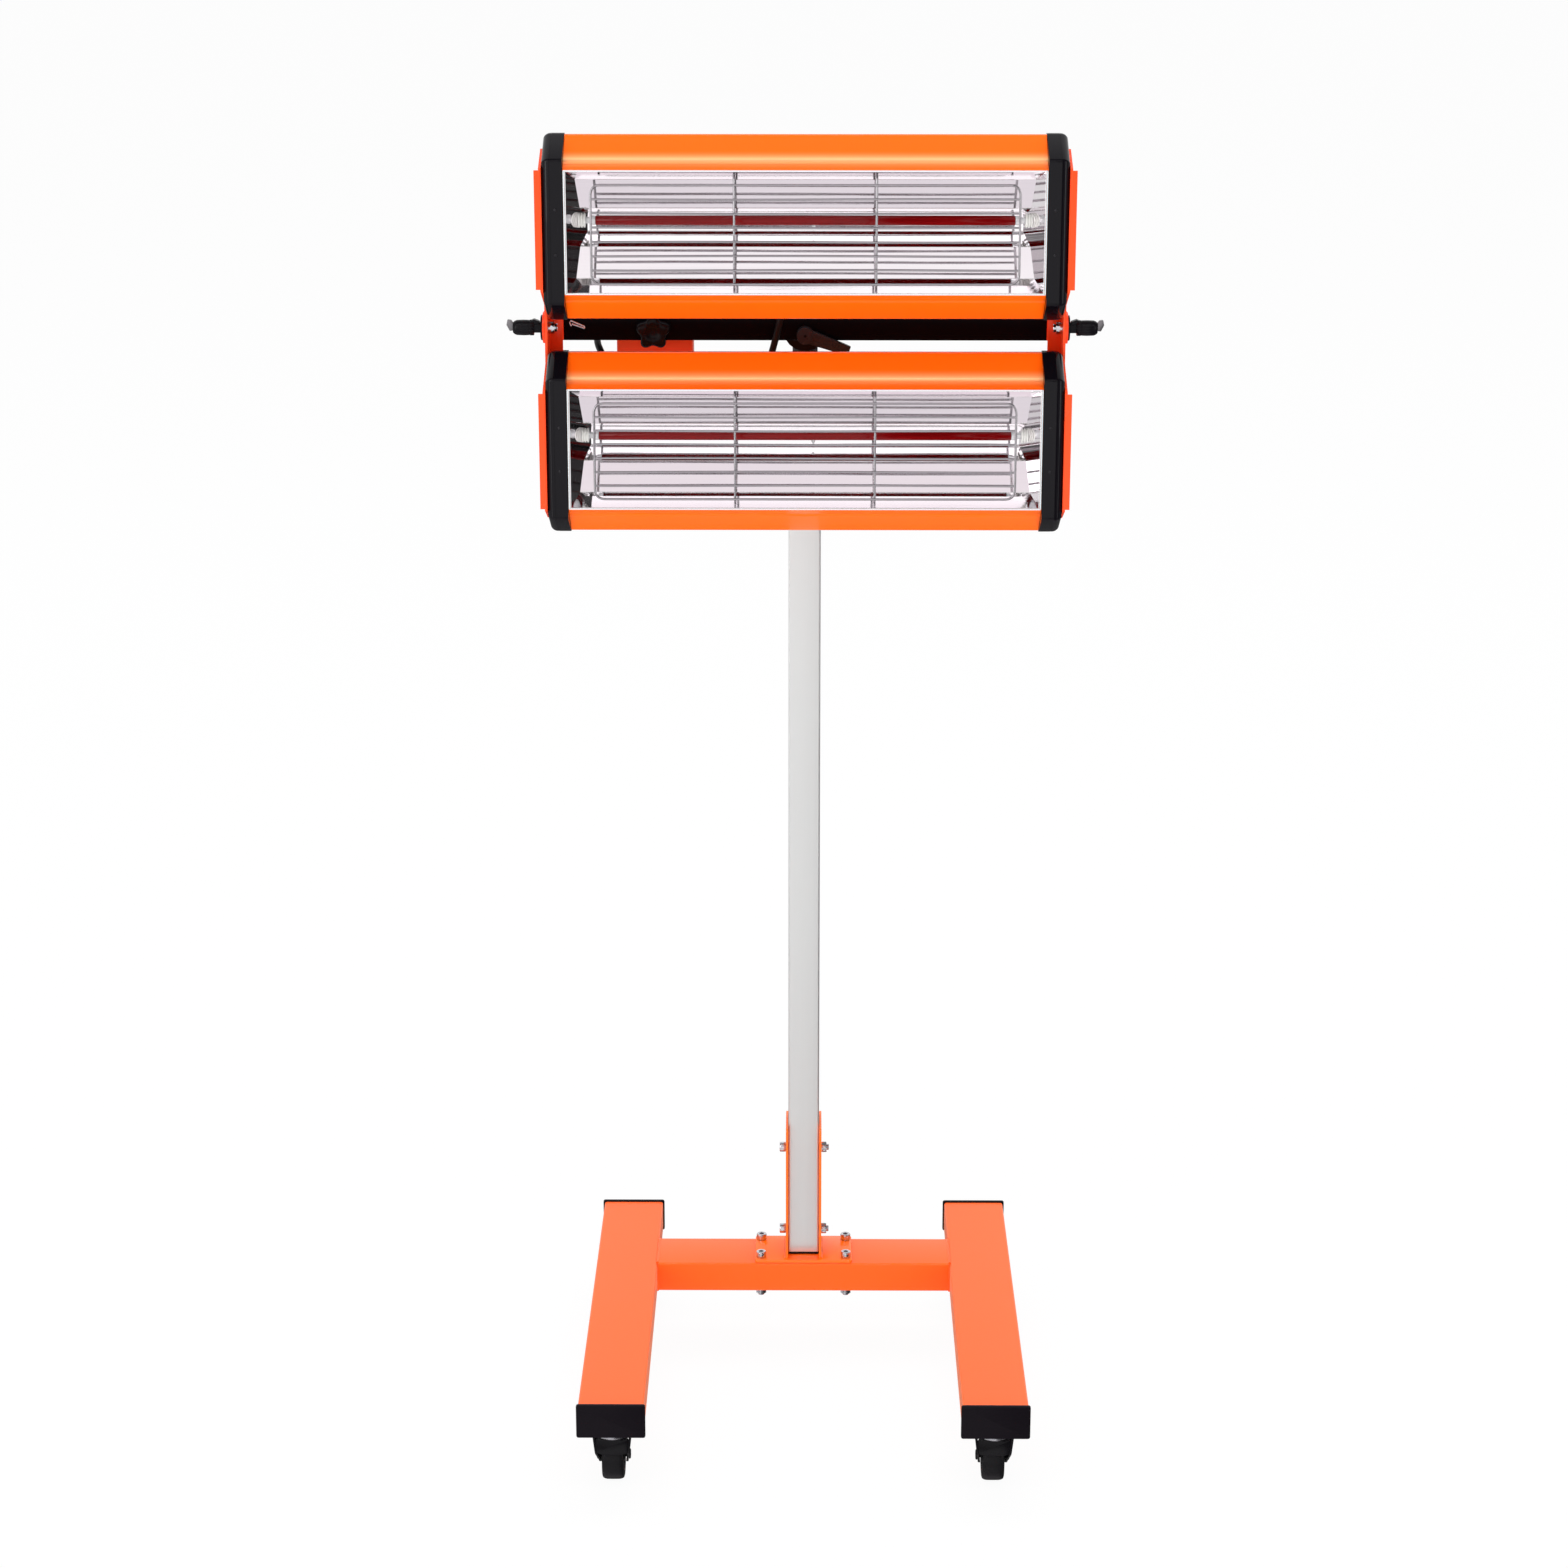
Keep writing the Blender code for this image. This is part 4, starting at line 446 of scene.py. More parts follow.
orange_paint = finish(
    "orange_powder_coat", coat_group, (1.0, 0.112, 0.003), Tone_drift=0.05, Peel=0.12, Gloss=0.30,
    Gloss_drift=0.10, Speck=0.25, Specular_IOR_Level=0.28, Sheen_Weight=0.25, Sheen_Roughness=0.45,
    Sheen_Tint=(1.0, 0.75, 0.50, 1))

for side, way in SIDES:
    section = rectangle(LEG_WIDTH, TUBE_HEIGHT, TUBE_CORNER, (way * LEG_CENTRE, TUBE_MIDDLE))
    add_piece("leg_tube_" + side, [tube(section, TUBE_WALL, "Y", -LEG_END, LEG_END)],
              orange_paint, "base", "orange_paint", "leg_" + side)
section = rectangle(LEG_WIDTH, TUBE_HEIGHT, TUBE_CORNER, (CROSS_MIDDLE, TUBE_MIDDLE))
joint = inset(rectangle(LEG_WIDTH, TUBE_HEIGHT, TUBE_CORNER, (CROSS_MIDDLE, TUBE_MIDDLE), 6), BEAD_SINK)
steps = np.tile(np.linspace(0, 1, BEAD_STEPS, endpoint=False), len(joint))[:, None]
parts = [tube(section, TUBE_WALL, "X", -CROSS_END, CROSS_END)]
for way in (-1, 1):
    around = stand(joint, "X", way * CROSS_END)[0]
    ahead = np.roll(around, -1, 0) - around
    fine = np.repeat(around, BEAD_STEPS, 0) + steps * np.repeat(ahead, BEAD_STEPS, 0)
    ripple = BEAD_RADIUS * (1 + RIPPLE_SHARE * np.sin(np.arange(len(fine)) * RIPPLE_TURN))
    parts.append(wire(fine, ripple, 8, True, (1, 0, 0)))
add_piece("cross_tube_welded", parts, orange_paint, "base", "orange_paint", "cross_tube")

# Leg caps: black moulded plugs pressed into the leg ends, with a flange a little larger than the
# tube, a soft rolled rim, a sunk field and a fine moulded grain.
CAP_WIDTH = 0.084
CAP_HEIGHT = 0.044
CAP_CORNER = 0.003
CAP_FROM = 0.3003
CAP_TO = 0.3053
CAP_RIM = 0.0012
FIELD_INSET = 0.0045
FIELD_FROM = CAP_TO - 0.001
FIELD_TO = CAP_TO - 0.0001
PLUG_GAP = 0.0004
PLUG_WALL = 0.002
PLUG_CORNER = 0.002
PLUG_FROM = 0.286
PLUG_SINK = 0.0005
DUST_COLOUR = (0.30, 0.28, 0.27, 1)
GRAIN_HEIGHT = 0.0002

tree, given, place = new_group("moulded_grain", {
    "Colour": (0, 0, 0, 1), "Grain size": 1500.0, "Grain": 0.15, "Gloss": 0.4, "Smudge": 0.05,
    "Dust": 0.0})
fine = noise(tree, place, given["Grain size"], 2.0)
broad = noise(tree, place, 26.0, 4.0)
normal = add_node(tree, "NewGeometry").outputs["Normal"]
up = add_node(tree, "SeparateXYZ", {0: normal}).outputs["Z"]
dust = calc(tree, "MULTIPLY", calc(tree, "MULTIPLY", span(tree, up, 0.2, 1.0), broad), given["Dust"])
drift = calc(tree, "SUBTRACT", broad, 0.5)
grain_group = give(
    tree, Colour=mix(tree, dust, given["Colour"], DUST_COLOUR),
    Roughness=calc(tree, "MULTIPLY_ADD", drift, given["Smudge"], given["Gloss"]),
    Normal=bump(tree, fine, given["Grain"], GRAIN_HEIGHT))

black_plastic = finish("black_moulded_plastic", grain_group, (0.0045, 0.0030, 0.0050), Grain=0.25,
                       Gloss=0.38, Smudge=0.12, Dust=0.02, Specular_IOR_Level=0.08)

for row, out in ROWS:
    for side, way in SIDES:
        centre = (way * LEG_CENTRE, TUBE_MIDDLE)
        name = row + "_" + side
        face = rectangle(CAP_WIDTH, CAP_HEIGHT, CAP_CORNER, centre)
        inner = 2 * (TUBE_WALL + PLUG_GAP)
        plug = rectangle(LEG_WIDTH - inner, TUBE_HEIGHT - inner, PLUG_CORNER, centre)
        add_piece("leg_end_" + name, [
            block(face, "Y", out * CAP_FROM, out * CAP_TO, CAP_RIM),
            block(inset(face, FIELD_INSET), "Y", out * FIELD_FROM, out * FIELD_TO, FINE_EDGE),
            tube(plug, PLUG_WALL, "Y", out * PLUG_FROM, out * (CAP_FROM + PLUG_SINK))],
            black_plastic, "base", "black_plastic", "leg_cap_" + name)

# Casters: a zinc plated top plate with four screws and a ball race, a black pressed fork that
# trails behind the swivel, and a moulded wheel with a rubber tread, bored for its axle.
# Profiles are pairs of radius and height, and outlines are pairs of places.
SWIVEL_OUT = 0.270
PLATE_TOP = 0.0847
PLATE_UNDER = 0.0817
PLATE_SIZE = 0.060
PLATE_CORNER = 0.006
PLATE_EDGE = 0.0008
PLATE_SCREW = 0.0235
PLATE_SCREW_HEAD = (0.0036, 0.0024)
RACE_PROFILE = (
    (0.0200, 0.0821), (0.0222, 0.0811), (0.0230, 0.0795), (0.0230, 0.0771), (0.0221, 0.0767),
    (0.0221, 0.0761), (0.0230, 0.0757), (0.0230, 0.0747), (0.0222, 0.0737), (0.0050, 0.0737),
    (0.0050, 0.0702), (0.0088, 0.0701), (0.0082, 0.0682), (0.0055, 0.0662), (0.0015, 0.0661))
AXLE_OUT = 0.246
AXLE_HEIGHT = 0.031
AXLE_RADIUS = 0.0038
AXLE_HEAD = ((0.0064, -0.0002), (0.0064, 0.0012), (0.0052, 0.0019), (0.0020, 0.0020))
TREAD = ((0.0215, -0.0128), (0.0268, -0.0136), (0.0290, -0.0128), (0.0303, -0.0104), (0.0309, -0.0075),
         (0.0310, 0.0), (0.0309, 0.0075), (0.0303, 0.0104), (0.0290, 0.0128), (0.0268, 0.0136),
         (0.0215, 0.0128), (0.0215, 0.0110), (0.0215, -0.0110))
HUB = ((0.0050, -0.0140), (0.0085, -0.0140), (0.0092, -0.0110), (0.0185, -0.0102), (0.0200, -0.0134),
       (0.0225, -0.0134), (0.0225, 0.0134), (0.0200, 0.0134), (0.0185, 0.0102), (0.0092, 0.0110),
       (0.0085, 0.0140), (0.0050, 0.0140), (0.0046, 0.0140), (0.0046, -0.0140))
FORK_IN = 0.016
FORK_OUT = 0.019
FORK_TOP = 0.0734
FORK_UNDER = 0.0704
FORK_LEAN = 0.0045
LEAN_LEAST = -0.001
# A cheek seen from the side, as distance out from the lamp's middle and height
CHEEK = ((0.284, 0.0728), (0.284, 0.0504), (0.258, 0.029), (0.246, 0.0185), (0.234, 0.030),
         (0.237, 0.058), (0.237, 0.0728))
CHEEK_ROUNDING = (0.002, 0.009, 0.006, 0.009, 0.006, 0.008, 0.002)
CROWN = ((-0.0200, 0.2465), (0.0200, 0.2465), (0.0232, 0.272), (0.0160, 0.2890), (-0.0160, 0.2890),
         (-0.0232, 0.272))
CROWN_ROUNDING = (0.003, 0.003, 0.02, 0.012, 0.012, 0.02)
HOOD = ((-0.0205, 0.0712), (-0.0188, 0.0514), (-0.0120, 0.0489), (0.0120, 0.0489),
        (0.0188, 0.0514), (0.0205, 0.0712))
HOOD_ROUNDING = 0.003
HOOD_FROM, HOOD_TO = 0.2815, 0.2842
# A screw's rim and recess as shares of its radius and height, and the turns along its dome
RIM_SHARE = 0.35
RECESS = ((0.26, 0.98), (0.16, 0.45))
DOME_STEPS = 5
DOME_FALL, DOME_RISE = 1.25, 1.4
LINE_HEIGHT = 0.0002
DENT_HEIGHT = 0.004
CORNER_WAYS = ((-1, -1), (-1, 1), (1, -1), (1, 1))


def lathe(profile, axis, centre, sides=32, hexed=(), ridged=(), ridges=0, ridge=0.0, ring=False):
    """A turned piece: circles of each radius of the profile at its place along the axis. Rows named
    in hexed follow a hexagon of that corner radius, rows named in ridged carry a number of waves
    of a small depth, and a ring's last row joins its first."""
    profile = np.asarray(profile, float)
    angle = (np.arange(sides) + 0.5) * 2 * math.pi / sides
    shape = np.ones((len(profile), sides))
    sixth = math.pi / 6
    shape[list(hexed)] = math.cos(sixth) / np.cos((angle + sixth) % (2 * sixth) - sixth)
    ridged = list(ridged)
    shape[ridged] += ridge / profile[ridged, :1] * np.cos(angle * ridges)
    radius = profile[:, :1] * shape
    flat = np.stack([radius * np.cos(angle) + centre[0], radius * np.sin(angle) + centre[1]], -1)
    return skin(stand(flat, axis, profile[:, 1]), close_rows=ring)


def rod(radius, axis, centre, low, high, sides=24):
    """A plain round rod."""
    return lathe([(radius, low), (radius, high)], axis, centre, sides)


def moved(profile, start, way=1):
    """A profile whose heights are counted from a place, one way or the other."""
    return [(radius, start + way * height) for radius, height in profile]


def screw_head(centre, axis, seat, out, radius, height):
    """A domed screw: a rim, a dome of ever smaller circles over it, and a recess in its middle."""
    dome = [(math.cos(t * DOME_FALL), RIM_SHARE + (1 - RIM_SHARE) * math.sin(t * DOME_RISE))
            for t in np.linspace(0, 1, DOME_STEPS)]
    profile = [(radius * across, height * rise) for across, rise in ((1, 0), *dome, *RECESS)]
    return lathe(moved(profile, seat, out), axis, centre, 24)


def streaks(tree, place, stretch):
    """Noise stretched along the direction of working."""
    place = add_node(tree, "VectorMath", {0: place, 1: stretch}, operation="MULTIPLY").outputs[0]
    return noise(tree, place, 1.0, 3.0)


# Bare metals carry fine draw lines, and thin sheet has broad shallow dents
tree, given, place = new_group("drawn_metal", {
    "Colour": (0.8, 0.8, 0.8, 1), "Stretch": (40.0, 900.0, 900.0), "Line depth": 0.1, "Gloss": 0.25,
    "Gloss drift": 0.1, "Tone drift": 0.04, "Wave": 0.0, "Wave size": 14.0})
lines = streaks(tree, place, given["Stretch"])
dents = bump(tree, noise(tree, place, given["Wave size"], 1.0), given["Wave"], DENT_HEIGHT)
drift = calc(tree, "SUBTRACT", lines, 0.5)
drawn_group = give(
    tree, Colour=toned(tree, given, drift),
    Roughness=calc(tree, "MULTIPLY_ADD", drift, given["Gloss drift"], given["Gloss"]),
    Normal=bump(tree, lines, given["Line depth"], LINE_HEIGHT, Normal=dents))

steel_screw = finish("bright_screw", drawn_group, (0.62, 0.61, 0.64), Stretch=(600.0, 600.0, 600.0),
                     Gloss=0.18, Metallic=1.0)
zinc = finish("zinc_plate", drawn_group, (0.66, 0.66, 0.69), Stretch=(260.0, 260.0, 260.0),
              Line_depth=0.1, Gloss=0.22, Gloss_drift=0.2, Tone_drift=0.12, Metallic=1.0)
fork_black = finish("black_fork_enamel", coat_group, (0.004, 0.0035, 0.0045), Tone_drift=0.05,
                    Peel=0.08, Gloss=0.20, Gloss_drift=0.08, Specular_IOR_Level=0.12)
tread_rubber = finish("black_tread_rubber", grain_group, (0.006, 0.0055, 0.0065), Grain=0.35,
                      Grain_size=1100.0, Gloss=0.38, Smudge=0.2, Dust=0.02, Specular_IOR_Level=0.12)
wheel_black = finish("black_wheel_nylon", grain_group, (0.009, 0.0085, 0.010), Grain=0.15, Gloss=0.30,
                     Dust=0.02, Specular_IOR_Level=0.15)

for row, out in ROWS:
    for side, way in SIDES:
        name = row + "_" + side
        centre = way * LEG_CENTRE
        swivel = (centre, out * SWIVEL_OUT)
        axle = (out * AXLE_OUT, AXLE_HEIGHT)
        plate = rectangle(PLATE_SIZE, PLATE_SIZE, PLATE_CORNER, swivel)
        parts = [block(plate, "Z", PLATE_UNDER, PLATE_TOP, PLATE_EDGE),
                 lathe(RACE_PROFILE, "Z", swivel, 48)]
        for x, y in CORNER_WAYS:
            place = (swivel[0] + x * PLATE_SCREW, swivel[1] + y * PLATE_SCREW)
            parts.append(screw_head(place, "Z", PLATE_UNDER, -1, *PLATE_SCREW_HEAD))
        add_piece("caster_top_" + name, parts, zinc, "base", "zinc", "caster_plate_" + name)

        add_piece("caster_tread_" + name, [lathe(moved(TREAD, centre), "X", axle, 72, ring=True)],
                  tread_rubber, "wheel_" + name, "black_rubber", "caster_wheel_" + name)
        add_piece("caster_hub_" + name, [lathe(moved(HUB, centre), "X", axle, 48, ring=True)],
                  wheel_black, "wheel_" + name, "black_rubber")

        cheek = rounded(np.array(CHEEK) * (out, 1), CHEEK_ROUNDING, 6)[::-out]
        crown = rounded(np.array(CROWN) * (1, out) + (centre, 0), CROWN_ROUNDING, 6)[::out]
        hood = rounded(np.array(HOOD) + (centre, 0), HOOD_ROUNDING, 5)
        parts = []
        for end in (-1, 1):
            grid, faces = block(cheek, "X", centre + end * FORK_IN, centre + end * FORK_OUT)
            lean = FORK_LEAN * (grid[:, 2] - AXLE_HEIGHT) / (FORK_UNDER - AXLE_HEIGHT)
            grid[:, 0] += end * np.maximum(lean, LEAN_LEAST)
            parts.append((grid, faces))
            parts.append(lathe(moved(AXLE_HEAD, centre + end * FORK_OUT, end), "X", axle, 24))
        parts.append(block(crown, "Z", FORK_UNDER, FORK_TOP))
        parts.append(block(hood, "Y", out * HOOD_FROM, out * HOOD_TO))
        parts.append(rod(AXLE_RADIUS, "X", axle, centre - FORK_OUT, centre + FORK_OUT))
        add_piece("caster_fork_pressed_" + name, parts, fork_black, "fork_" + name, "black_paint",
                  "caster_fork_" + name)

# Brake pedals: moulded levers over the trailing side of the front wheels, with grip ribs on the
# tread and a steel pin through both cheeks of the fork.
PEDAL_PIN = (-0.240, 0.066)
PEDAL_SHAPE = ((-0.17, -0.13), (0.25, -0.17), (1.0, 0.08), (1.08, 0.25), (0.92, 0.33), (0.17, 0.15),
               (-0.17, 0.13))
PEDAL_SPAN = 0.024
PEDAL_ROUNDING = 0.0016
PEDAL_HALF = 0.013
PIN_RADIUS = 0.0025
PIN_HALF = 0.0222
RIBS = 4
RIB_SIZE = (0.0012, 0.0016)
RIB_START = np.array([0.0080, 0.0050])
RIB_STEP = np.array([0.0036, 0.00085])
RIB_HALF = 0.010

for side, way in SIDES:
    centre = way * LEG_CENTRE
    outline = rounded(np.array(PEDAL_SHAPE) * PEDAL_SPAN + PEDAL_PIN, PEDAL_ROUNDING, 4)
    parts = [block(outline, "X", centre - PEDAL_HALF, centre + PEDAL_HALF, PLATE_EDGE),
             rod(PIN_RADIUS, "X", PEDAL_PIN, centre - PIN_HALF, centre + PIN_HALF, 20)]
    for k in range(RIBS):
        rib = rectangle(*RIB_SIZE, THIN_EDGE, PEDAL_PIN + RIB_START + k * RIB_STEP)
        parts.append(block(rib, "X", centre - RIB_HALF, centre + RIB_HALF, THIN_EDGE))
    add_piece("brake_tread_" + side, parts, black_plastic, "pedal_" + side, "black_plastic",
              "brake_pedal_" + side)

# Saddle: a steel foot plate and two upright plates that hold the post between them, joined by
# fillet welds, then powder coated together with the base.
SADDLE_LOW = 0.1253
SADDLE_TOP = 0.1293
SADDLE_SIZE = (0.128, 0.078)
SADDLE_CORNER = 0.004
SADDLE_EDGE = 0.0007
UPRIGHT_IN = 0.0203
UPRIGHT_OUT = 0.0233
UPRIGHT_FROM, UPRIGHT_TO = 0.108, 0.178
UPRIGHT_TOP = 0.3133
UPRIGHT_ROUNDING = (0.0005, 0.0005, 0.006, 0.006)
SADDLE_SINK = 0.001
WELD_GAP = 0.0005
WELD_OUT, WELD_RISE = 0.0004, 0.0003
WELD_RADIUS = 0.0018
WELD_STEPS = 70
WELD_SHARE, WELD_TURN = 0.14, 1.8

foot = rectangle(*SADDLE_SIZE, SADDLE_CORNER, (0, CROSS_MIDDLE), 5)
parts = [block(foot, "Z", SADDLE_LOW, SADDLE_TOP, SADDLE_EDGE)]
low = SADDLE_TOP - SADDLE_SINK
plate = rounded([(UPRIGHT_FROM, low), (UPRIGHT_TO, low), (UPRIGHT_TO, UPRIGHT_TOP),
                 (UPRIGHT_FROM, UPRIGHT_TOP)], UPRIGHT_ROUNDING, 6)
ripple = WELD_RADIUS * (1 + WELD_SHARE * np.sin(np.arange(WELD_STEPS) * WELD_TURN))
for way in (-1, 1):
    parts.append(block(plate, "X", way * UPRIGHT_IN, way * UPRIGHT_OUT))
    x, z = way * (UPRIGHT_OUT + WELD_OUT), SADDLE_TOP + WELD_RISE
    weld = np.linspace((x, UPRIGHT_FROM + WELD_GAP, z), (x, UPRIGHT_TO - WELD_GAP, z), WELD_STEPS)
    parts.append(wire(weld, ripple, 10, flat=(1, 0, 0)))
saddle_paint = finish("orange_saddle_coat", coat_group, (1.0, 0.150, 0.006), Tone_drift=0.06, Peel=0.08,
                      Gloss=0.22, Gloss_drift=0.10, Speck=0.2, Specular_IOR_Level=0.4)
add_piece("saddle_welded", parts, saddle_paint, "base", "orange_paint", "post_bracket")

# Screws: bright zinc plated socket screws with a knurled head and a hexagon nut. Four hold the
# saddle on the cross tube and two clamp the post in the saddle.
SEAT_GAP = 0.0003
# Radius and height over the head's seat, and under the nut's seat
HEAD_PROFILE = ((0.0033, 0.0038), (0.0034, 0.0077), (0.0038, 0.0080), (0.0056, 0.0080),
                (0.0062, 0.0076), (0.0065, 0.0068), (0.0065, 0.0009), (0.0062, 0.0), (0.0040, 0.0))
NUT_PROFILE = ((0.0040, 0.0), (0.0066, 0.0), (0.0075, 0.0007), (0.0075, 0.0058), (0.0066, 0.0065),
               (0.0040, 0.0065))
SOCKET_ROWS, KNURL_ROWS, NUT_ROWS = (0, 1), (5, 6), (11, 12)
KNURL_WAVES, KNURL_DEPTH = 36, 0.00012
SHANK = 0.004
NUT_END = 0.0065
THREAD_TURNS = 9
THREAD_TAIL = 0.003
THREAD_DEPTH = 0.0003
THREAD_POINT = 0.0009
SCREW_SPREAD = (0.056, 0.028)
CLAMP_HEIGHTS = (("lower", 0.1579), ("upper", 0.2749))
SCREW_TURN = 30


def socket_screw(axis, centre, head_seat, nut_seat):
    """A socket screw and its nut turned as one profile: hexagon socket, head, shank, nut, thread."""
    out = 1 if head_seat > nut_seat else -1
    thread = [(SHANK - THREAD_DEPTH * (k % 2), NUT_END + THREAD_TAIL * k / THREAD_TURNS)
              for k in range(1, THREAD_TURNS)]
    thread.append((SHANK - THREAD_POINT, NUT_END + THREAD_TAIL))
    rows = moved(HEAD_PROFILE, head_seat, out) + moved(NUT_PROFILE + tuple(thread), nut_seat, -out)
    return lathe(rows, axis, centre, 72, SOCKET_ROWS + NUT_ROWS, KNURL_ROWS, KNURL_WAVES, KNURL_DEPTH)


for number, (x, y) in enumerate(CORNER_WAYS, start=1):
    place = (x * SCREW_SPREAD[0], CROSS_MIDDLE + y * SCREW_SPREAD[1])
    screw = socket_screw("Z", place, SADDLE_TOP + SEAT_GAP, TUBE_LOW - SEAT_GAP)
    add_piece("saddle_screw_%d" % number, [screw], steel_screw, "base", "chrome",
              "base_bolt_%d" % number, sharp=SCREW_TURN)
for level, z in CLAMP_HEIGHTS:
    screw = socket_screw("X", (CROSS_MIDDLE, z), -UPRIGHT_OUT - SEAT_GAP, UPRIGHT_OUT + SEAT_GAP)
    add_piece("clamp_screw_" + level, [screw], steel_screw, "base", "chrome", "post_bolt_" + level,
              sharp=SCREW_TURN)

# Post: a drawn square aluminium tube with small rounded corners, satin anodised, which stands on a
# black plug and is closed by the post head.
POST_WIDTH = 0.040
POST_CORNER = 0.0022
POST_WALL = 0.002
POST_LOW = 0.1329
POST_HIGH = 1.2719
FOOT_CORNER = 0.002
FOOT_EDGE = 0.0005
FOOT_FROM, FOOT_TO = 0.1296, 0.1326
POST_PLUG_WIDTH = 0.0352
POST_PLUG_CORNER = 0.001
POST_PLUG_FROM, POST_PLUG_TO = 0.1322, 0.1476

post_skin = finish("satin_anodised_post", drawn_group, (0.74, 0.745, 0.74), Stretch=(700.0, 700.0, 5.0),
                   Line_depth=0.10, Gloss=0.30, Gloss_drift=0.08, Tone_drift=0.03, Metallic=0.85)
section = rectangle(POST_WIDTH, POST_WIDTH, POST_CORNER, (0, CROSS_MIDDLE), 5)
add_piece("post_tube", [tube(section, POST_WALL, "Z", POST_LOW, POST_HIGH)], post_skin, "base",
          "silver_aluminium", "post")
foot = rectangle(POST_WIDTH, POST_WIDTH, FOOT_CORNER, (0, CROSS_MIDDLE))
plug = rectangle(POST_PLUG_WIDTH, POST_PLUG_WIDTH, POST_PLUG_CORNER, (0, CROSS_MIDDLE))
add_piece("post_plug", [block(foot, "Z", FOOT_FROM, FOOT_TO, FOOT_EDGE),
                        tube(plug, PLUG_WALL, "Z", POST_PLUG_FROM, POST_PLUG_TO)],
          black_plastic, "base", "black_plastic", "post_foot")

# Post head: a welded steel fork on a plug in the post's top, in black enamel. The swing arm turns
# between its ears on the screw of a clamp lever, over a bright washer.
HEAD_PIVOT = (0.143, 1.2999)
WASHER = ((0.0052, -0.0194), (0.0098, -0.0194), (0.0102, -0.0199), (0.0098, -0.0205), (0.0052, -0.0205))
MERGE_WITHIN = 0.00002
FLAT_WITHIN = math.radians(1.0)


def eased(name, node, material, body, slot, edge=0.0007):
    """A pressed or welded piece with the solid's own form: a copy of its triangles is merged, flat
    faces are joined again, and every crisp edge gets a small round."""
    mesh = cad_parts[node].data.copy()
    whole = bmesh.new()
    whole.from_mesh(mesh)
    bmesh.ops.remove_doubles(whole, verts=whole.verts, dist=MERGE_WITHIN)
    bmesh.ops.dissolve_limit(whole, angle_limit=FLAT_WITHIN, verts=whole.verts, edges=whole.edges)
    whole.to_mesh(mesh)
    whole.free()
    return place_piece(name, mesh, material, body, slot, node, edge=edge)


black_enamel = finish("black_enamel", coat_group, (0.004, 0.0035, 0.005), Tone_drift=0.05, Peel=0.10,
                      Gloss=0.30, Gloss_drift=0.10, Specular_IOR_Level=0.12)
eased("post_head_fork", "post_head", black_enamel, "base", "black_paint")
add_piece("head_washer", [lathe(WASHER, "X", HEAD_PIVOT, 40)], steel_screw, "base", "chrome")

# Swing arm: square tube in black enamel with a forged hub at its end, which carries the crossbar.
eased("swing_arm_welded", "swing_arm", black_enamel, "arm", "black_paint")

# Clamp levers: moulded hub and flat handle on a steel screw, with a press button in the hub's face.
BUTTON = ((0.0052, 0.0), (0.0052, 0.0004), (0.0044, 0.0007), (0.0015, 0.0008))
LEVER_EDGE = 0.0012

lever_black = finish("black_lever_moulding", grain_group, (0.0045, 0.004, 0.0055), Grain=0.2,
                     Gloss=0.24, Smudge=0.08, Specular_IOR_Level=0.12)
lever_grey = finish("dark_grey_nylon", grain_group, (0.018, 0.017, 0.020), Grain=0.2, Gloss=0.28,
                    Smudge=0.08, Specular_IOR_Level=0.2)
for owner, node, axis, centre, face, out in (
    ("arm", "arm_lever", "X", HEAD_PIVOT, 0.0348, 1),
    ("yoke", "clamp_lever", "Y", (0, 1.3879), -0.0608, -1),
):
    eased(owner + "_clamp_lever", node, lever_grey, owner + "_clamp", "black_plastic", LEVER_EDGE)
    add_piece(owner + "_clamp_button", [lathe(moved(BUTTON, face, out), axis, centre, 32)],
              lever_black, owner + "_clamp", "black_plastic")

# Crossbar: a black rectangular tube closed by pressed-in plugs, with a spring clip that hangs in
# its left end.
BAR_END = 0.297
BAR_SIZE = (0.030, 0.040)
BAR_CORNER = 0.0022
BAR_CENTRE = (-0.0303, 1.3999)
BAR_PLUG = (0.2971, 0.2983)
CLIP = ((-0.2745, -0.0466, 1.3975), (-0.2762, -0.0472, 1.4015), (-0.2745, -0.0482, 1.4040),
        (-0.2590, -0.0495, 1.3975), (-0.2585, -0.0495, 1.3950), (-0.2735, -0.0482, 1.4000))
CLIP_ROUNDING = 0.0018
CLIP_WIRE = 0.0011

gloss_black = finish("black_gloss_enamel", coat_group, (0.0030, 0.0022, 0.0035), Tone_drift=0.04,
                     Peel=0.05, Gloss=0.22, Gloss_drift=0.06, Specular_IOR_Level=0.03)
section = rectangle(*BAR_SIZE, BAR_CORNER, BAR_CENTRE, 5)
add_piece("crossbar_tube", [tube(section, TUBE_WALL, "X", -BAR_END, BAR_END)], gloss_black, "yoke",
          "black_paint", "crossbar")
plugs = [block(section, "X", way * BAR_PLUG[0], way * BAR_PLUG[1], THIN_EDGE) for way in (-1, 1)]
add_piece("crossbar_plugs", plugs, black_plastic, "yoke", "black_plastic")
add_piece("spring_clip", [wire(rounded(CLIP, CLIP_ROUNDING, 6, closed=False), CLIP_WIRE, 10)],
          steel_screw, "yoke", "chrome")

# End brackets: bent steel angles in red-orange enamel, welded to the crossbar's ends, whose round
# ears carry the tilting frame.
arm_paint = finish("red_orange_enamel", coat_group, (0.98, 0.070, 0.012), Tone_drift=0.05, Peel=0.08,
                   Gloss=0.26, Gloss_drift=0.08, Specular_IOR_Level=0.25)
for side, _ in SIDES:
    eased("end_bracket_bent_" + side, "end_bracket_" + side, arm_paint, "yoke", "red_orange_paint",
          ROLLED_EDGE)

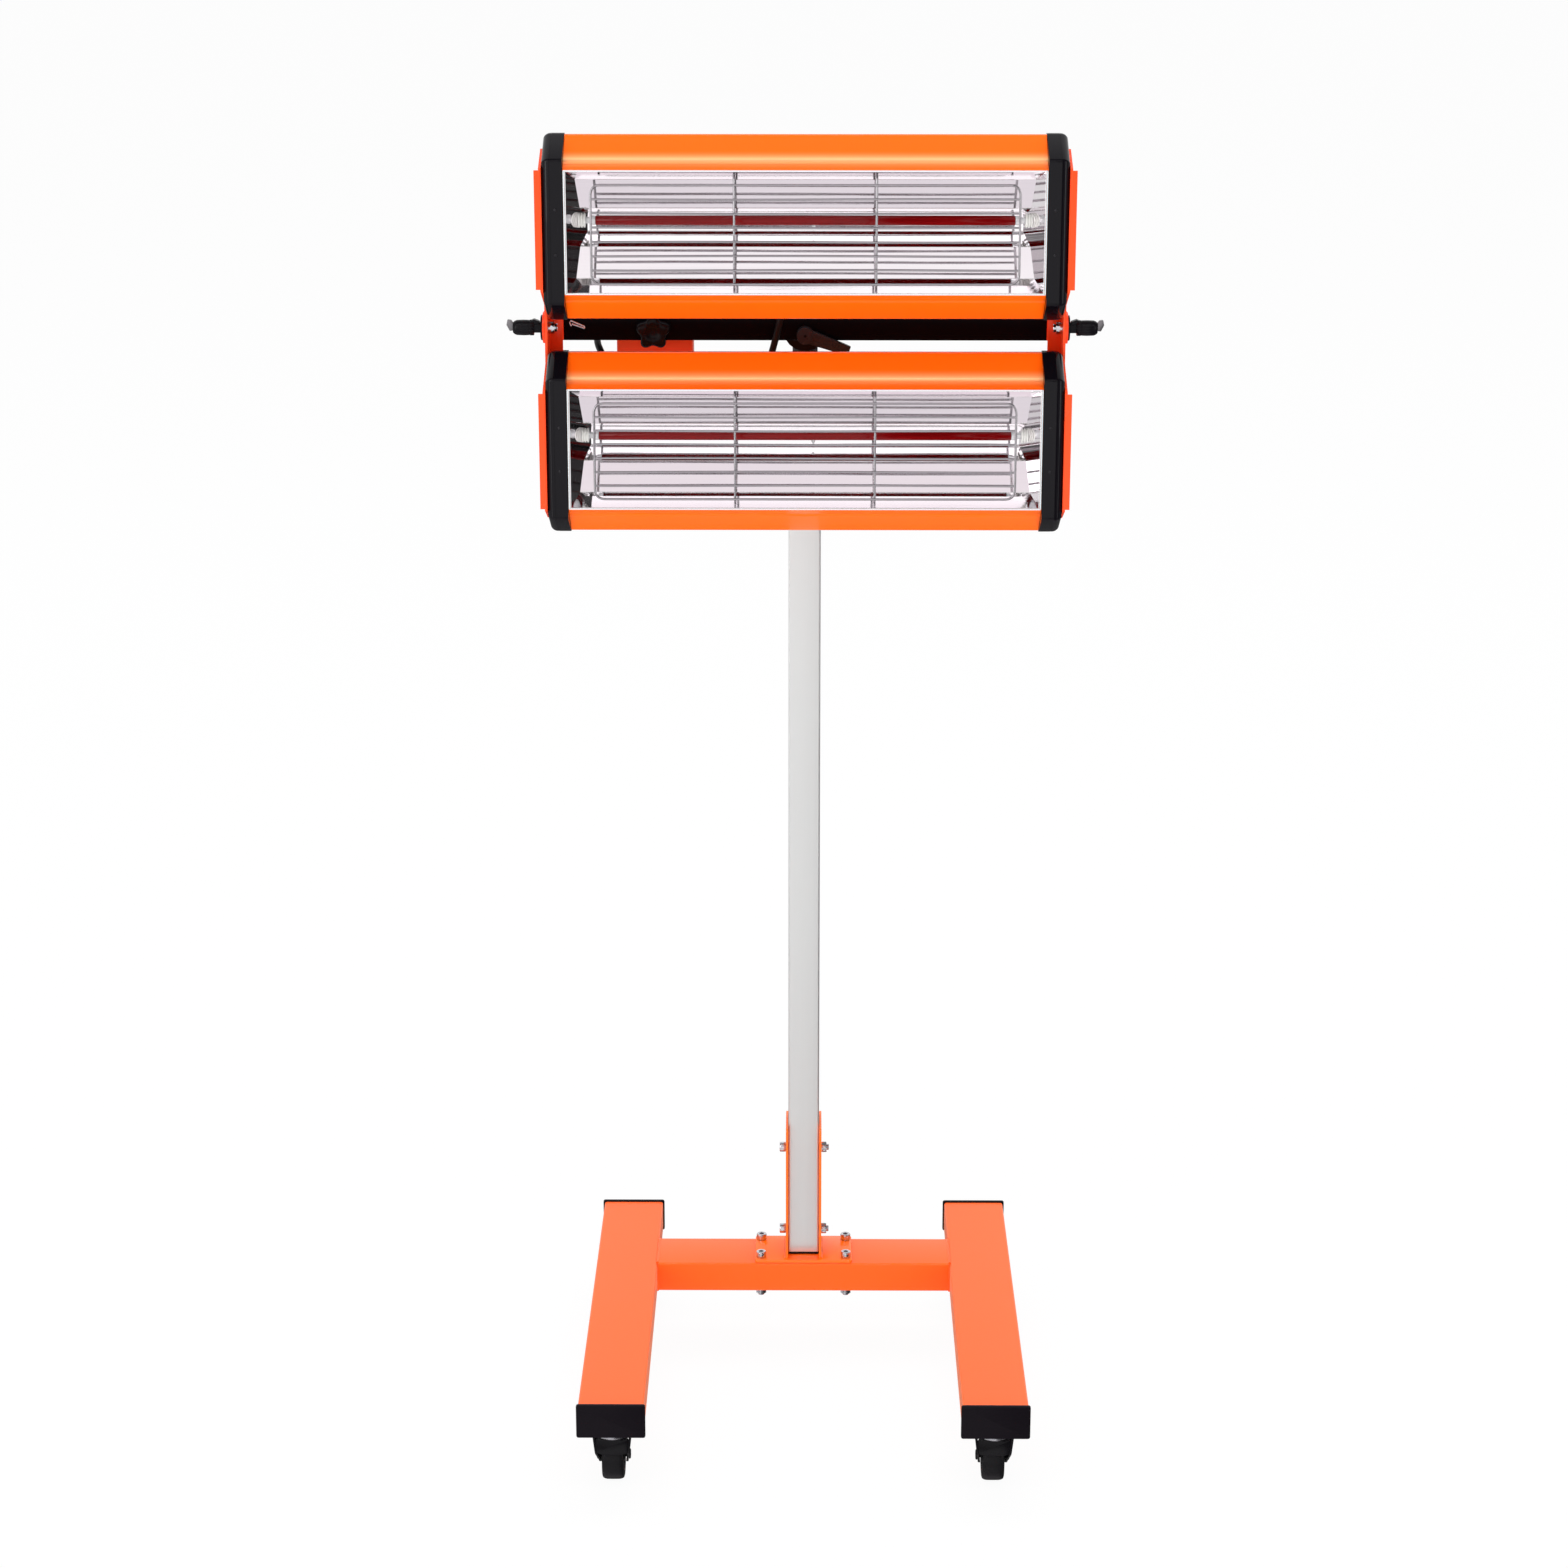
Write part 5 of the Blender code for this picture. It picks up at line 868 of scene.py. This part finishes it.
# Side arms: laser cut steel straps bent along their front edge, one on each side of both heads,
# with rivets into the end caps and a short web behind the gap between the heads.
HEADS = (("upper", 1.5284), ("lower", 1.2814))
STRAP_FACE = 0.2983
RIVET_PLACE = (-0.165, 0.045)
RIVET_HEAD = (0.0045, 0.0020)
WEB_SIZE = (0.0157, 0.0920)
WEB_CORNER = 0.0010
WEB_PLACE = (0.28815, 1.4050)
WEB_FROM, WEB_TO = -0.1083, -0.1058

for side, way in SIDES:
    eased("side_strap_" + side, "side_arm_" + side, arm_paint, "lamp_frame", "red_orange_paint",
          ROLLED_EDGE)
    rivets = [screw_head((RIVET_PLACE[0], middle + rise), "X", way * STRAP_FACE, way, *RIVET_HEAD)
              for _, middle in HEADS for rise in (-RIVET_PLACE[1], RIVET_PLACE[1])]
    add_piece("strap_screws_" + side, rivets, steel_screw, "lamp_frame", "chrome")
    web = rectangle(*WEB_SIZE, WEB_CORNER, (way * WEB_PLACE[0], WEB_PLACE[1]))
    add_piece("strap_web_" + side, [block(web, "Y", WEB_FROM, WEB_TO, THIN_EDGE)], arm_paint, "lamp_frame",
              "red_orange_paint")

# Ratchet handles: a bright nut inside the frame, a friction disc, and a moulded hub with fine
# ribs, a short lever foot and a metal button in its end.
TILT = (-0.1253, 1.4089)
HANDLE_PROFILE = (
    (0.0050, 0.3016), (0.0130, 0.3018), (0.0145, 0.3021), (0.0145, 0.3036), (0.0138, 0.3040),
    (0.0060, 0.3041), (0.0060, 0.3118), (0.0084, 0.3120), (0.0088, 0.3125), (0.0088, 0.3168),
    (0.0085, 0.3170), (0.0085, 0.3176), (0.0088, 0.3178), (0.0090, 0.3240), (0.0087, 0.3318),
    (0.0076, 0.3345), (0.0060, 0.3362), (0.0030, 0.3364))
HANDLE_RIBS = {"ridged": (8, 9), "ridges": 24, "ridge": 0.0003}
FOOT_SHAPE = ((0.3043, 0.0040), (0.3155, 0.0040), (0.3155, 0.0085), (0.3120, 0.0100), (0.3060, 0.0078))
FOOT_HALF = 0.0050
HANDLE_ROUNDING = 0.0010
TIP_SHAPE = ((0.3345, -0.0030), (0.3400, -0.0036), (0.3437, 0.0035), (0.3425, 0.0092), (0.3380, 0.0085),
             (0.3350, 0.0040))
TIP_HALF = 0.0032
STUD_NUT = ((0.0045, 0.2850), (0.0050, 0.2858), (0.0050, 0.2884), (0.0066, 0.2884), (0.0075, 0.2890),
            (0.0075, 0.2944), (0.0066, 0.2950), (0.0049, 0.2950), (0.0049, 0.3015))
STUD_NUT_HEXED = (4, 5)


def handle_plate(shape, way, half):
    """A small plate across the tilt axis, with its outline counted from that axis."""
    outline = rounded(shape, HANDLE_ROUNDING, 3) * (way, 1) + (0, TILT[1])
    return block(outline[::way], "Y", TILT[0] - half, TILT[0] + half)


tip_metal = finish("brushed_button", drawn_group, (0.22, 0.21, 0.22), Stretch=(400.0, 400.0, 400.0),
                   Line_depth=0.2, Gloss=0.35, Metallic=1.0)
for side, way in SIDES:
    hub = lathe(moved(HANDLE_PROFILE, 0, way), "X", TILT, 64, **HANDLE_RIBS)
    add_piece("ratchet_hub_" + side, [hub, handle_plate(FOOT_SHAPE, way, FOOT_HALF)], lever_black,
              "handle_" + side, "black_plastic", "ratchet_handle_" + side)
    add_piece("ratchet_tip_" + side, [handle_plate(TIP_SHAPE, way, TIP_HALF)], tip_metal,
              "handle_" + side, "black_plastic")
    add_piece("ratchet_nut_" + side, [lathe(moved(STUD_NUT, 0, way), "X", TILT, 48, STUD_NUT_HEXED)],
              steel_screw, "handle_" + side, "chrome")

# Star knob: a five-lobed moulding on a stud that clamps the control box to the crossbar.
KNOB_PLACE = (-0.178, 1.3919)
KNOB_RADIUS = 0.0185
KNOB_LOBES = 5
LOBE_HEIGHT = 0.0029
ROUND_SHARE = 0.5
KNOB_SIDES = 100
# Share of the full radius, and place along the stud
KNOB_PROFILE = (
    (0.50, -0.0458), (0.58, -0.0478), (0.90, -0.0482), (1.0, -0.0490), (1.0, -0.0570), (0.985, -0.0600),
    (0.93, -0.0622), (0.82, -0.0634), (0.45, -0.0636), (0.38, -0.0628), (0.12, -0.0626))
STUD_RADIUS = 0.004
STUD_FROM, STUD_TO = -0.0460, -0.0092

turn = np.linspace(0, 2 * math.pi, KNOB_SIDES, endpoint=False)
lobes = KNOB_RADIUS + LOBE_HEIGHT * np.cos(KNOB_LOBES * turn + math.pi / 2 * 3)
share, depths = np.array(KNOB_PROFILE).T
lobed = np.maximum(0.0, (share - ROUND_SHARE) / (1 - ROUND_SHARE))[:, None]
radius = share[:, None] * (lobed * lobes + (1 - lobed) * KNOB_RADIUS)
rings = np.stack([KNOB_PLACE[0] + radius * np.cos(turn), KNOB_PLACE[1] + radius * np.sin(turn)], -1)
parts = [skin(stand(rings, "Y", depths)), rod(STUD_RADIUS, "Y", KNOB_PLACE, STUD_FROM, STUD_TO)]
add_piece("star_knob_moulded", parts, lever_black, "knob", "black_plastic", "star_knob")

# Shells of the two heads: extruded aluminium in glossy orange, with fine ribs along the front
# bands, a soft crease, and a bare bright lip folded round the mouth.
SHELL_END = 0.271
SHELL_WALL = 0.002
FACE = -0.2003
# Half of the section, from the mouth's lip over the crease to the back, and its rounding
HALF_SECTION = np.array([(-0.2003, 0.0700), (-0.1873, 0.0779), (-0.1553, 0.1045), (-0.1414, 0.1031),
                         (-0.1053, 0.0752)])
HALF_ROUNDING = (0.0006, 0.0022, 0.0075, 0.0100, 0.0060)
BEAD = (0.0010, 0.0026)
RIB_PLACE_SHARES = (0.22, 0.62)
RIB_GROOVE = ((-0.0005, 0), (-0.0002, 1), (0.0002, 1), (0.0005, 0))
RIB_DEPTH = 0.00035
CREASE_TURN = 28
# Colour of the painted highlight along each shell's crease
CREASE_HIGHLIGHT_COLOUR = (1.0, 0.55, 0.24, 1)
LIP_SIZE = (0.5414, 0.1396)
LIP_CORNER = 0.0012
LIP_EDGE = 0.0002
LIP_WIDTH = 0.0016
LIP_FROM, LIP_TO = 0.0001, 0.0008
GLANDS = {"upper": (-0.020, 1.4834), "lower": (-0.215, 1.3164)}
GLAND_FROM, GLAND_TO = -0.1052, -0.0954
GLAND_FLAT, GLAND_REACH = 0.0078, 0.0066
GLAND_RIDGES = {"hexed": (0, 1, 2), "ridged": (3, 4, 5), "ridges": 16, "ridge": 0.00025}


def mirrored(path):
    """A half section and, backwards, its mirror image below the middle."""
    return np.concatenate([path, (path * (1, -1))[::-1]])


def shell_section(middle):
    """The outside of a shell from the mouth's top round the back to its bottom: the half section,
    rounded corner by corner with a bead above the front band, and its mirror image. Ribs are shallow
    grooves across the front band."""
    lip, crease = HALF_SECTION[:2]
    way = unit(crease - lip)
    normal = np.array([way[1], -way[0]])
    front = [lip]
    for share in RIB_PLACE_SHARES:
        for shift, depth in RIB_GROOVE:
            front.append(lip + (crease - lip) * share + way * shift + normal * RIB_DEPTH * depth)
    half = np.concatenate([[lip, crease, crease + BEAD], HALF_SECTION[2:]])
    radii = (1e-5,) + HALF_ROUNDING
    curve = rounded(mirrored(half), np.array(radii + radii[::-1]), 6, closed=False)
    front = np.array(front)
    return np.concatenate([front, curve[1:-1], (front * (1, -1))[::-1]]) + (0, middle)


def thick(path, wall):
    """Give an open flat path a wall: the path and, backwards, its points moved inwards, against the
    normals of its own direction."""
    along = unit(np.gradient(path, axis=0))
    normal = np.stack([-along[:, 1], along[:, 0]], 1)
    return np.concatenate([path, (path - normal * wall)[::-1]])


def gland(axis, centre, low, high):
    """A cable gland on a wall: hexagon nut, domed cap nut with fine ridges and a rubber throat."""
    profile = ((GLAND_FLAT, 0), (GLAND_FLAT, 0.28), (GLAND_FLAT * 0.97, 0.32), (GLAND_REACH, 0.34),
               (GLAND_REACH, 0.72), (GLAND_REACH * 0.86, 0.88), (GLAND_REACH * 0.66, 1),
               (GLAND_REACH * 0.62, 1), (GLAND_REACH * 0.60, 0.9))
    return lathe(moved(profile, low, high - low), axis, centre, 48, **GLAND_RIDGES)


# A painted highlight: the colour turns paler near the crease's height, standing in for the light that the
# crease catches
tree, given, place = new_group("painted_crease_highlight", {
    "Colour": WHITE, "Highlight": WHITE, "Middle": 0.0, "Crease": 0.08, "Reach": 0.009, "Strength": 0.95})
height = add_node(tree, "SeparateXYZ", {0: place}).outputs["Z"]
rise = calc(tree, "SUBTRACT", height, given["Middle"])
away = calc(tree, "ABSOLUTE", calc(tree, "SUBTRACT", rise, given["Crease"]))
near = calc(tree, "POWER", span(tree, away, 0.0, given["Reach"], 1.0, 0.0), 2.2)
crease_highlight_share = calc(tree, "MULTIPLY", near, given["Strength"])
crease_highlight_group = give(tree, Colour=mix(tree, crease_highlight_share, given["Colour"], given["Highlight"]))

bright_lip = finish("bare_bright_lip", drawn_group, (0.93, 0.93, 0.94), Stretch=(30.0, 900.0, 900.0),
                    Gloss=0.22, Metallic=1.0)
gland_black = finish("black_gland_nylon", grain_group, (0.014, 0.013, 0.015), Grain=0.15, Gloss=0.38)

for level, middle in HEADS:
    enamel = finish("orange_gloss_enamel_" + level, coat_group, (1.0, 0.135, 0.003), Tone_drift=0.03,
                    Peel=0.03, Peel_size=260.0, Gloss=0.18, Gloss_drift=0.05, Specular_IOR_Level=0.08,
                    Coat_Weight=0.45, Coat_Roughness=0.05)
    # Each shell's enamel gets the painted highlight at its own crease height
    tree = enamel.node_tree
    base = tree.nodes["Principled BSDF"].inputs["Base Color"]
    highlighted = add_node(tree, "Group", node_tree=crease_highlight_group)
    highlighted.inputs["Highlight"].default_value = CREASE_HIGHLIGHT_COLOUR
    highlighted.inputs["Middle"].default_value = middle
    tree.links.new(base.links[0].from_socket, highlighted.inputs["Colour"])
    tree.links.new(highlighted.outputs["Colour"], base)

    section = thick(shell_section(middle), SHELL_WALL)
    shell = skin(stand(section, "X", np.array([-SHELL_END, SHELL_END])))
    add_piece("shell_extrusion_" + level, [shell], enamel, "lamp_frame", "orange_shell",
              "shell_" + level, sharp=CREASE_TURN)
    mouth = rectangle(*LIP_SIZE, LIP_CORNER, (0, middle))
    lip = tube(mouth, LIP_WIDTH, "Y", FACE - LIP_FROM, FACE - LIP_TO)
    add_piece("mouth_lip_" + level, [lip], bright_lip, "lamp_frame", "mirror_aluminium", edge=LIP_EDGE)
    add_piece("shell_gland_" + level, [gland("Y", GLANDS[level], GLAND_FROM, GLAND_TO)], gland_black,
              "lamp_frame", "black_plastic")

# End caps: deep black gloss mouldings pushed over the shell's ends, with a chamfered outer rim
# behind a moulded line, a short ridge above and below the front, and two dark screws in its face.
CAP_IN = 0.2713
CAP_OUT = 0.295
CAP_PROUD = 0.0013
CAP_CHAMFER = 0.0072
CAP_ROUNDING = (0.003, 0.010, 0.011, 0.008)
SHOULDER_RISE = 0.0026
# The moulded line's rings: how far in from the outline, and where across
LINE_RINGS = ((0.0, CAP_IN), (0.0, 0.2854), (0.0005, 0.2855), (0.0005, 0.2861), (0.0, 0.2862))
RIDGE_SIZE = (0.0128, 0.0012)
RIDGE_PLACE = (0.2790, 0.0795)
RIDGE_OUT, RIDGE_IN = 0.0005, 0.001
SCREW_ACROSS = 0.2800
SCREW_RISES = (0.0255, -0.0250)
CAP_SCREW_HEAD = (0.0017, 0.0008)
CAP_TURN = 24

cap_black = finish("black_gloss_moulding", grain_group, (0.0035, 0.0028, 0.0045), Grain=0.06,
                   Grain_size=900.0, Gloss=0.12, Smudge=0.06, Specular_IOR_Level=0.08, Coat_Weight=0.20,
                   Coat_Roughness=0.03)
screw_black = finish("blackened_screw", grain_group, (0.030, 0.028, 0.032), Gloss=0.30, Metallic=0.8)

half = np.concatenate([[(FACE, HALF_SECTION[1, 1] + SHOULDER_RISE)], HALF_SECTION[2:]])
outline = rounded(mirrored(half), np.array(CAP_ROUNDING + CAP_ROUNDING[::-1]), 6)[::-1]
turn = np.linspace(0, math.pi / 2, 6)[1:]
shrink, across = np.array(LINE_RINGS).T
shrink = np.concatenate([shrink, CAP_CHAMFER * (1 - np.cos(turn))])
across = np.concatenate([across, across[-1] + (CAP_OUT - across[-1]) * np.sin(turn)])
rings = np.stack([inset(outline, distance - CAP_PROUD) for distance in shrink])
front = FACE - CAP_PROUD
for level, middle in HEADS:
    for side, way in SIDES:
        name = level + "_" + side
        parts = [skin(stand(rings + (0, middle), "X", way * across))]
        for rise in (RIDGE_PLACE[1], -RIDGE_PLACE[1]):
            ridge = rectangle(*RIDGE_SIZE, THIN_EDGE, (way * RIDGE_PLACE[0], middle + rise))
            parts.append(block(ridge, "Y", front - RIDGE_OUT, front + RIDGE_IN, FINE_EDGE))
        add_piece("head_cap_" + name, parts, cap_black, "lamp_frame", "black_gloss", "end_cap_" + name,
                  sharp=CAP_TURN)
        screws = [screw_head((way * SCREW_ACROSS, middle + rise), "Y", front, -1, *CAP_SCREW_HEAD)
                  for rise in SCREW_RISES]
        add_piece("cap_screws_" + name, screws, screw_black, "lamp_frame", "black_gloss")

# Reflectors: thin polished aluminium folded into flat facets above, behind and below the lamp,
# with slanted end walls. Thin sheet is never quite flat, so its reflections bend a little.
RIM = -0.1988
DEPTH = 0.0665
RIM_HALF = np.array([0.268, 0.0677])
RIM_LIP = (-0.0010, 0.0001)
BACK_HALF = 0.002
END_SLANT = 0.020
# Shares of the depth and of the rim's half height at each fold
FACET_SHARES = ((0.0, 1.0), (0.431, 0.825), (0.640, 0.321), (1.0, 0.113))
FOLD = 0.0016
SHEET = 0.0008
FACET_TURN = 30

mirror = finish("polished_reflector", drawn_group, (0.98, 0.955, 0.97), Stretch=(6.0, 700.0, 700.0),
                Line_depth=0.04, Gloss=0.035, Gloss_drift=0.03, Wave=0.07, Wave_size=6.0, Metallic=1.0)

folds = np.array(FACET_SHARES) * (DEPTH, RIM_HALF[1])
profile = np.concatenate([[(RIM_LIP[0], RIM_HALF[1] + RIM_LIP[1])], folds, [(DEPTH, BACK_HALF)]])
bend = rounded(profile, np.array([0, FOLD / 3, FOLD, FOLD, FOLD, 0]) + 1e-5, 4, closed=False)
depth, half = bend.T
wide = RIM_HALF[0] - END_SLANT * np.clip(depth, 0, DEPTH) / DEPTH
halves = np.stack([wide, half], -1)
halves = np.concatenate([(halves + SHEET)[::-1], halves])[:, None]
places = RIM + np.concatenate([(depth + SHEET * (depth > 0.5 * DEPTH))[::-1], depth])
for level, middle in HEADS:
    rings = rectangle(2, 2) * halves + (0, middle)
    add_piece("reflector_sheet_" + level, [skin(stand(rings, "Y", places))], mirror, "lamp_frame",
              "mirror_aluminium", "reflector_" + level, sharp=FACET_TURN)

# Lamps: a quartz tube with a ruby coating over its lit length, a pinched-off exhaust tip below the
# middle, clear ends and ribbed ceramic holders that pass through the reflector's end walls.
LAMP_AXIS = -0.1563
LAMP_RISE = 0.008
TUBE_RADIUS = 0.0056
RED_PROFILE = ((0.00504, -0.2375), (0.0056, -0.2367), (0.0056, 0.2367), (0.00504, 0.2375))
TIP_PLACE = 0.0095
TIP_PROFILE = ((0.0026, 0.0006), (0.0024, -0.0010), (0.0015, -0.0028), (0.0005, -0.0044))
PINCH_PROFILE = ((0.005376, 0.2377), (0.005376, 0.2415), (0.00392, 0.2440), (0.003472, 0.2465),
                 (0.00448, 0.2490))
HOLDER_RIBS = 5
HOLDER_FROM = 0.2487
HOLDER_PITCH = 0.0031
HOLDER_RIB = ((0.0068, 0), (0.0084, 0.0005), (0.0084, 0.0019), (0.0068, 0.0024))
FILM_STRETCH = (9.0, 260.0, 260.0)
FILM_DRIFT = 0.04

tree, given, place = new_group("ruby_film", {
    "Colour": (0.2, 0.0, 0.0, 1), "Deep colour": (0.05, 0.0, 0.0, 1), "Gloss": 0.05})
streak = streaks(tree, place, FILM_STRETCH)
film = mix(tree, streak, given["Deep colour"], given["Colour"])
rough = calc(tree, "MULTIPLY_ADD", streak, FILM_DRIFT, given["Gloss"])
quartz_group = give(tree, Colour=film, Roughness=rough)

ruby = finish("ruby_coated_quartz", quartz_group, (0.26, 0.002, 0.003),
              Deep_colour=(0.09, 0.0005, 0.001, 1), Gloss=0.04, IOR=1.46, Specular_IOR_Level=0.3)
clear_quartz = finish("clear_quartz_end", quartz_group, (0.93, 0.93, 0.94),
                      Deep_colour=(0.80, 0.80, 0.82, 1), Gloss=0.05, IOR=1.46, Transmission_Weight=0.55)
ceramic = finish("white_steatite", grain_group, (0.78, 0.77, 0.74), Grain=0.2, Gloss=0.45, Smudge=0.1,
                 Dust=0.1)

holder = [(radius, HOLDER_FROM + k * HOLDER_PITCH + height)
          for k in range(HOLDER_RIBS) for radius, height in HOLDER_RIB]
for level, middle in HEADS:
    axis = (LAMP_AXIS, middle + LAMP_RISE)
    tip = moved(TIP_PROFILE, axis[1] - TUBE_RADIUS)
    add_piece("quartz_tube_" + level, [lathe(RED_PROFILE, "X", axis, 40)], ruby, "lamp_frame",
              "ruby_quartz", "lamp_" + level)
    add_piece("exhaust_tip_" + level, [lathe(tip, "Z", (TIP_PLACE, LAMP_AXIS), 16)], clear_quartz,
              "lamp_frame", "ruby_quartz")
    for side, way in SIDES:
        name = level + "_" + side
        add_piece("clear_end_" + name, [lathe(moved(PINCH_PROFILE, 0, way), "X", axis)], clear_quartz,
                  "lamp_frame", "ruby_quartz")
        add_piece("ceramic_holder_" + name, [lathe(moved(holder, 0, way), "X", axis)], ceramic,
                  "lamp_frame", "ruby_quartz")

# Guards: a chromed wire loop with six bars welded across it and two posts behind them, whose ends
# bend back and hook into the reflector's mouth.
GUARD_PLANE = -0.1953
GUARD_SIZE = (0.4812, 0.1112)
GUARD_DROP = 0.003
GUARD_CORNER = 0.012
WIRE = 0.0014
BAR_WIRE = 0.93 * WIRE
BARS = 6
BAR_STEPS = 25
BAR_SAG, BAR_WAVE = 0.0004, 3.0
POST_SPREAD = 0.080
# A post seen from the side: how far behind the loop's plane, and height from the head's middle
POST_HALF = ((0.0085, 0.0623), (0.00224, 0.0600))
POST_ROUNDING = 0.002
WIRE_TURN = 50

# The wires' colour is darker than chrome's own: painted shade that stands in for the dark surroundings
# they mirror
wire_chrome_darkened = finish("chromed_wire_painted_darker", drawn_group, (0.42, 0.40, 0.42), Stretch=(300.0, 300.0, 300.0),
                     Line_depth=0.04, Gloss=0.07, Gloss_drift=0.06, Metallic=1.0)

t = np.linspace(-1, 1, BAR_STEPS)
for level, middle in HEADS:
    centre = middle - GUARD_DROP
    flat = rectangle(*GUARD_SIZE, GUARD_CORNER, (0, centre), 8)
    parts = [wire(stand(flat, "Y", GUARD_PLANE)[0], WIRE, 12, True)]
    for k in range(1, BARS + 1):
        z = centre + GUARD_SIZE[1] * (k / (BARS + 1) - 0.5) + BAR_SAG * np.sin(BAR_WAVE * t + k)
        line = np.stack([t * GUARD_SIZE[0] / 2, np.full(BAR_STEPS, GUARD_PLANE), z], 1)
        parts.append(wire(line, BAR_WIRE, 10))
    for way in (-1, 1):
        post = stand(mirrored(np.array(POST_HALF)) + (GUARD_PLANE, middle), "X", way * POST_SPREAD)[0]
        parts.append(wire(rounded(post, POST_ROUNDING, 5, closed=False), WIRE, 12, flat=(1, 0, 0)))
    add_piece("wire_guard_" + level, parts, wire_chrome_darkened, "lamp_frame", "chrome", "guard_" + level,
              sharp=WIRE_TURN)

# Control box: folded sheet in red-orange enamel, painted lighter than the frame's to stand in for
# light in the shade between the heads, with a black panel at the back, two rocker switches in framed
# openings, and a cable gland on each side.
BOX_FRONT, BOX_BACK = -0.015, 0.031
BOX_SIZE = (0.090, 0.070)
BOX_CENTRE = (-0.178, 1.3649)
BOX_CORNER = 0.0035
BOX_WALL = 0.003
BOX_BEND = 0.0020
BOX_GLANDS = ((1.3449, -0.1328, -0.1232), (1.3849, -0.2232, -0.2328))
GLAND_BACK = 0.008
ROCKERS = (("upper", -0.195), ("lower", -0.161))
BEZEL_OUTER = (0.0246, 0.0306, 0.0015)
BEZEL_INNER = (0.0214, 0.0274, 0.0008)
BEZEL_FROM, BEZEL_TO = 0.0352, 0.0364
PANEL_FACE = 0.0353
PANEL_SCREWS = [(x, z) for x in (-0.2165, -0.1395) for z in (1.3360, 1.3938)]
PANEL_SCREW_HEAD = (0.0024, 0.0014)
ROCKER_EDGE = 0.0005

outline = rectangle(*BOX_SIZE, BOX_CORNER, BOX_CENTRE, 5)
inside = inset(outline, BOX_WALL)
turn = np.linspace(0, math.pi / 2, 4)
rings = [inset(outline, BOX_BEND * (1 - s)) for s in np.sin(turn)] + [outline, inside, inside]
places = np.append(BOX_FRONT + BOX_BEND * (1 - np.cos(turn)), [BOX_BACK, BOX_BACK, BOX_FRONT + BOX_WALL])
# Painted light: the box's colour is lighter than the frame's enamel to make up for the shade it sits in
box_paint_lightened = finish("red_orange_box_enamel_painted_light", coat_group, (1.0, 0.120, 0.045), Tone_drift=0.05, Peel=0.08,
                   Gloss=0.26, Gloss_drift=0.08, Specular_IOR_Level=0.25)
add_piece("control_box_folded", [skin(stand(np.stack(rings), "Y", places))], box_paint_lightened, "yoke",
          "red_orange_paint", "control_box")
add_piece("box_glands", [gland("X", (GLAND_BACK, z), low, high) for z, low, high in BOX_GLANDS],
          gland_black, "yoke", "black_plastic")
panel_black = finish("black_panel_plate", grain_group, (0.012, 0.011, 0.013), Grain=0.25, Gloss=0.45)
eased("control_panel_plate", "control_panel", panel_black, "yoke", "black_plastic", ROLLED_EDGE)
bezels = []
for _, x in ROCKERS:
    outer, inner = (rectangle(*size, (x, BOX_CENTRE[1])) for size in (BEZEL_OUTER, BEZEL_INNER))
    bezels.append(frame_ring(outer, inner, "Y", BEZEL_FROM, BEZEL_TO))
add_piece("rocker_bezels", bezels, panel_black, "yoke", "black_plastic")
screws = [screw_head(place, "Y", PANEL_FACE, 1, *PANEL_SCREW_HEAD) for place in PANEL_SCREWS]
add_piece("panel_screws", screws, steel_screw, "yoke", "chrome")
for name, _ in ROCKERS:
    eased("rocker_" + name, "switch_" + name, cap_black, "rocker_" + name, "black_gloss", ROCKER_EDGE)

# Leads: round rubber cables from the control box to the heads.
LEAD_RADIUS = 0.004
LEAD_REFERENCE = (0.3, 0.5, 0.8)
LEAD_ROUTES = {
    "upper": ((-0.1227, 0.008, 1.3449), (-0.1147, 0.008, 1.3449), (-0.098, 0.002, 1.340),
              (-0.076, -0.018, 1.335), (-0.056, -0.042, 1.342), (-0.042, -0.062, 1.362),
              (-0.035, -0.073, 1.385), (-0.031, -0.078, 1.402), (-0.026, -0.080, 1.427),
              (-0.021, -0.080, 1.455), (-0.0202, -0.0785, 1.475), (-0.020, -0.087, 1.4834),
              (-0.020, -0.095, 1.4834)),
    "lower": ((-0.2333, 0.008, 1.3849), (-0.2413, 0.008, 1.3849), (-0.2465, 0.000, 1.3785),
              (-0.2455, -0.014, 1.3705), (-0.240, -0.030, 1.3615), (-0.233, -0.050, 1.348),
              (-0.224, -0.068, 1.333), (-0.217, -0.080, 1.3215), (-0.215, -0.087, 1.3164),
              (-0.215, -0.095, 1.3164)),
}


def through(points, steps=10):
    """A smooth curve through points: between each two, the cubic whose ends point along the line
    between their neighbours."""
    points = np.asarray(points, float)
    spare = np.concatenate([points[:1] * 2 - points[1:2], points, points[-1:] * 2 - points[-2:-1]])
    a, b, c, d = spare[:-3, None], spare[1:-2, None], spare[2:-1, None], spare[3:, None]
    t = np.linspace(0, 1, steps, endpoint=False)[None, :, None]
    curve = (2 * b + (c - a) * t + (2 * a - 5 * b + 4 * c - d) * t ** 2
             + (3 * b - a - 3 * c + d) * t ** 3) / 2
    return np.concatenate([curve.reshape(-1, 3), points[-1:]])


lead_rubber = finish("black_lead_rubber", grain_group, (0.007, 0.006, 0.007), Grain=0.3, Gloss=0.32,
                     Specular_IOR_Level=0.15)
for level, route in LEAD_ROUTES.items():
    cable = wire(through(route), LEAD_RADIUS, 16, flat=LEAD_REFERENCE)
    lead = add_piece("lead_cable_" + level, [cable], lead_rubber, None, "black_rubber", "lead_" + level)
    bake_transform(lead)
